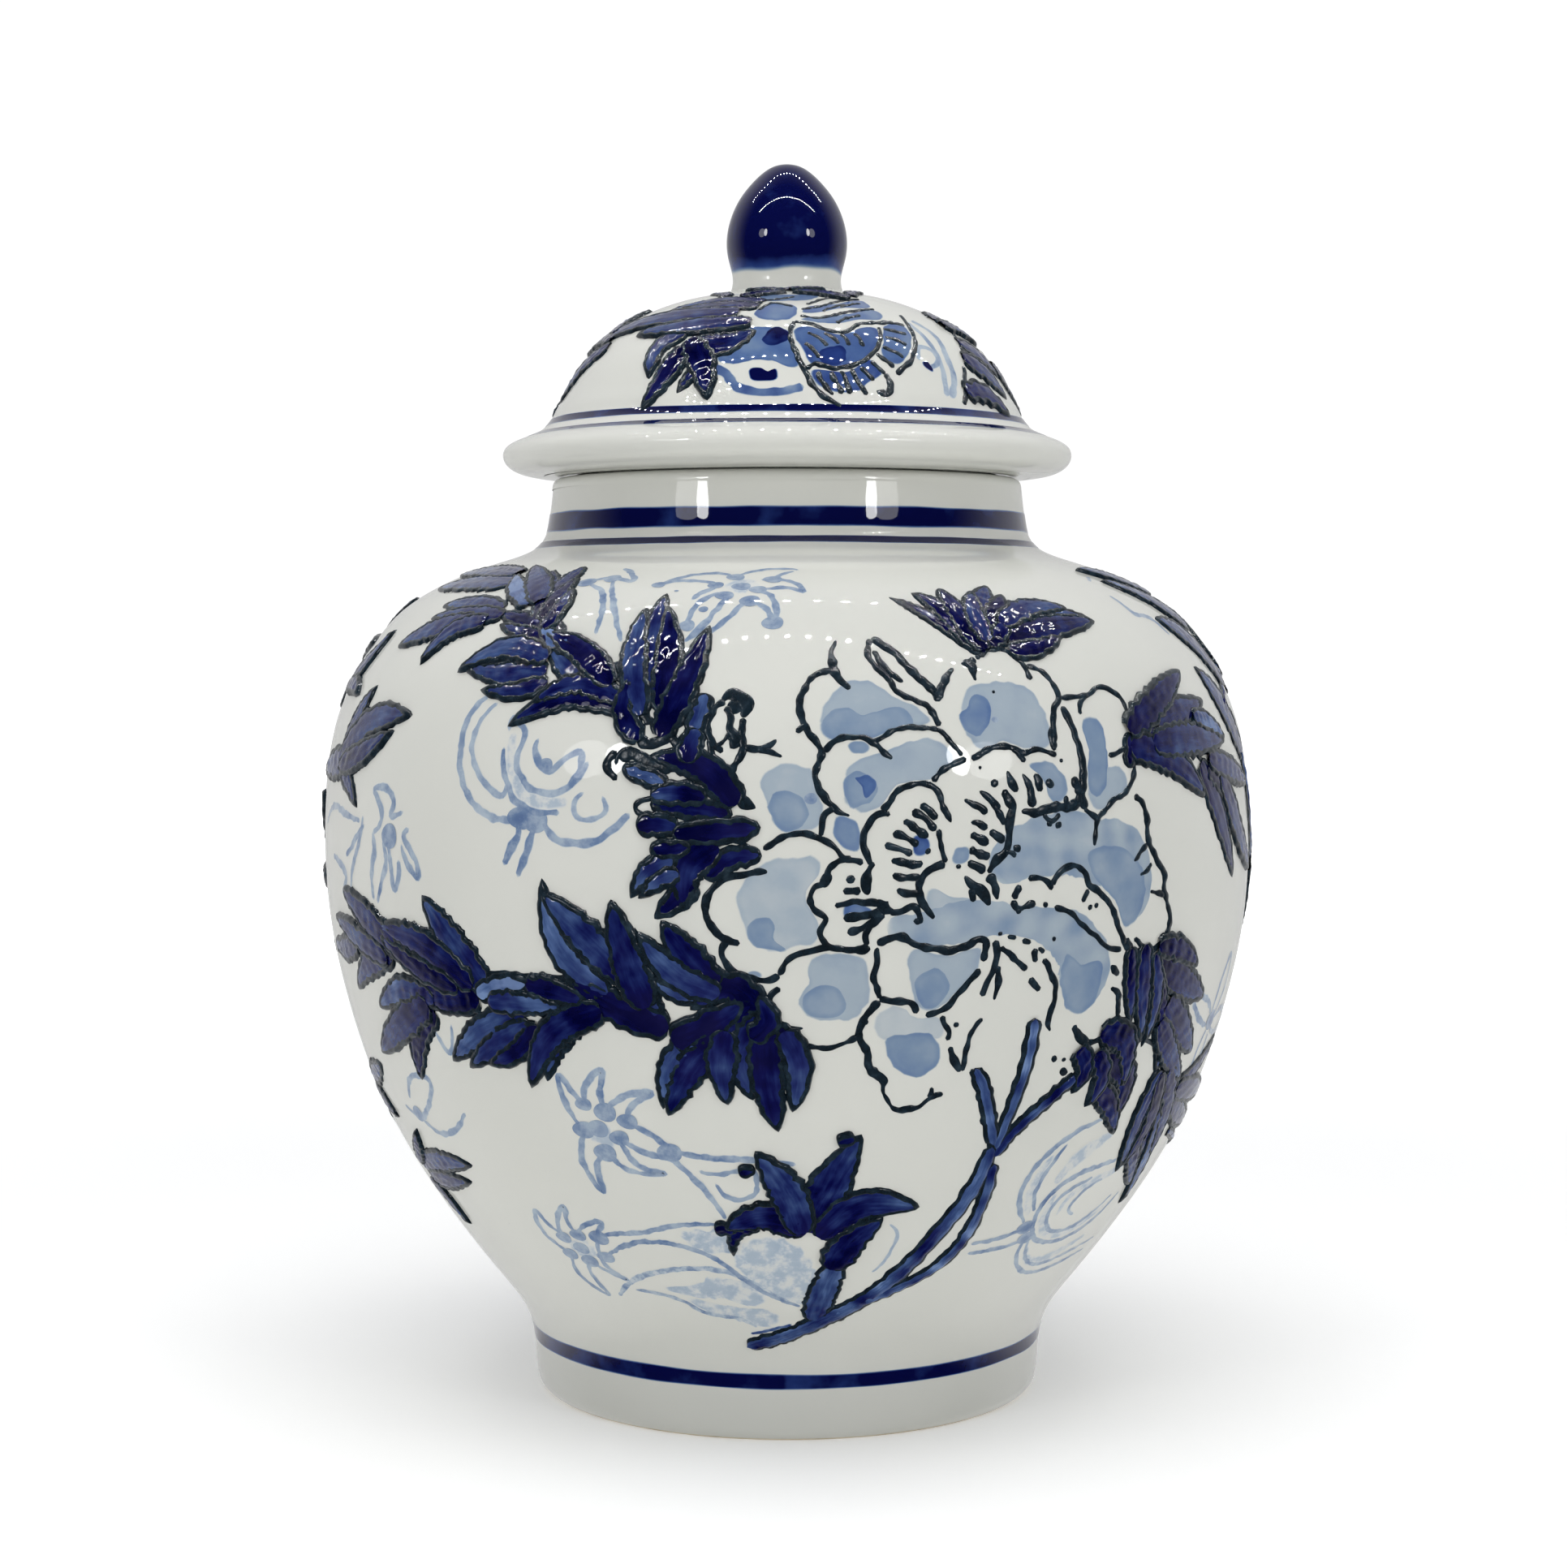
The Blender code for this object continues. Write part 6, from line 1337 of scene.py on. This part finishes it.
lidWashes = [
    (0.46, [(-14.6, 12.0), (-14.0, 17.0), (-10.8, 21.4), (-3.2, 22.4), (0.4, 19.4), (2.8, 13.0), (2.4, 10.6),
            (-2.8, 11.8), (-9.4, 11.6)]),
    (0.72, [(-3.4, 22.4), (-0.6, 22.0), (0.6, 19.0), (-2.0, 16.2), (-5.6, 16.8), (-5.2, 20.0)]),
    (0.50, [(1.8, 22.0), (6.0, 22.6), (10.4, 20.4), (15.0, 20.6), (18.6, 22.8), (22.8, 22.6), (21.6, 18.0),
            (19.0, 14.0),
            (15.0, 11.4), (9.0, 10.4), (5.0, 11.0), (3.4, 14.6)]),
    (0.66, [(6.1, 12.8), (8.4, 15.8), (12.8, 15.8), (13.0, 12.6), (9.0, 10.8)]),
    (0.55, [(4.8, 9.6), (8.0, 9.8), (14.0, 10.2), (18.6, 12.6), (20.4, 10.2), (17.0, 7.2), (14.0, 5.0), (9.0, 4.6),
            (6.2, 6.0)]),
    (0.44, [(22.4, 17.6), (24.4, 22.6), (28.0, 25.2), (32.0, 24.0), (30.6, 18.0), (27.0, 13.4), (23.0, 11.6),
            (21.0, 14.0)]),
    (0.42, [(3.6, 26.0), (9.0, 24.4), (14.0, 24.6), (20.0, 26.6), (27.0, 27.8), (28.0, 32.0), (20.0, 30.6),
            (12.0, 28.0)]),
    (0.46, [(4.0, 30.0), (10.0, 30.4), (18.0, 33.6), (27.0, 35.4), (27.4, 41.0), (20.0, 38.8), (12.0, 35.6),
            (6.0, 33.4)]),
    (0.46, [(-8.6, 32.0), (-4.4, 36.8), (2.2, 34.4), (1.4, 26.8), (-4.8, 25.6), (-8.4, 27.6)]),
    (1.0, [(-7.8, 10.2), (-5.4, 10.4), (-4.2, 9.4), (-2.2, 10.2), (-2.0, 8.0), (-4.6, 7.2), (-7.4, 7.8)]),
    (0.9, [(31.0, 12.9), (32.0, 13.2), (33.4, 11.8), (33.0, 10.6), (31.6, 11.2)]),
    (0.40, [(-13.0, 42.0), (-8.0, 46.0), (2.0, 47.4), (12.0, 46.0), (8.0, 40.6), (0.0, 39.0), (-8.0, 38.6)]),
]
lidPaint = {"ink": 1.15, "lineHeight": 0.28}
lidPale = [
    (2.2, 0.62, 0.1, [(-15.6, 10.6), (-13.2, 9.6), (-10.6, 6.5), (-6.2, 4.7), (-1.0, 4.8), (3.4, 5.9)]),
    (1.5, 0.44, 0.3, [(30.4, 12.8), (31.8, 16.6), (35.4, 16.2), (36.0, 13.4), (32.4, 11.4)]),
    (1.9, 0.44, 0.3, [(36.8, 28.0), (40.6, 22.0), (39.6, 14.6), (38.6, 8.8), (35.2, 4.2)]),
    (1.7, 0.42, 0.3, [(34.6, 27.0), (36.0, 20.6), (36.4, 12.4), (34.2, 4.4)]),
]


def makeLidPaint():
    # the lid carries one flower and its leaves, twice round
    halfTurn = math.pi * lidSkin["radius"]
    pads, seats, washes = newHeap(), newHeap(), newHeap()
    for shift in (0.0, halfTurn):
        for seed, lobe in enumerate(lidLobes):
            addLobe(pads, seats, lidSkin, lobe, seed + 700, True, shift)
        for seed, (width, points) in enumerate(lidLines):
            addRidge(seats, lidSkin, points, width, lidPaint["lineHeight"], seed + 780, 0.14, shift)
        for seed, (ink, outline) in enumerate(lidWashes):
            addWash(washes, lidSkin, outline, lidPaint["ink"] * ink, seed + 820, shift)
        for seed, (width, ink, sponge, points) in enumerate(lidPale):
            addBrush(washes, lidSkin, points, width, ink, seed + 840, 0.1, shift, sponge=sponge)
    for ring in lidRings:
        addRing(washes, lidSkin, *ring)
    finishHeap("lidLeafCobalt", pads, cobaltPad, "lid")
    finishHeap("lidLines", seats, blackLine, "lid")
    finishHeap("lidWashes", washes, painted, "lid", True)


makeLidPaint()
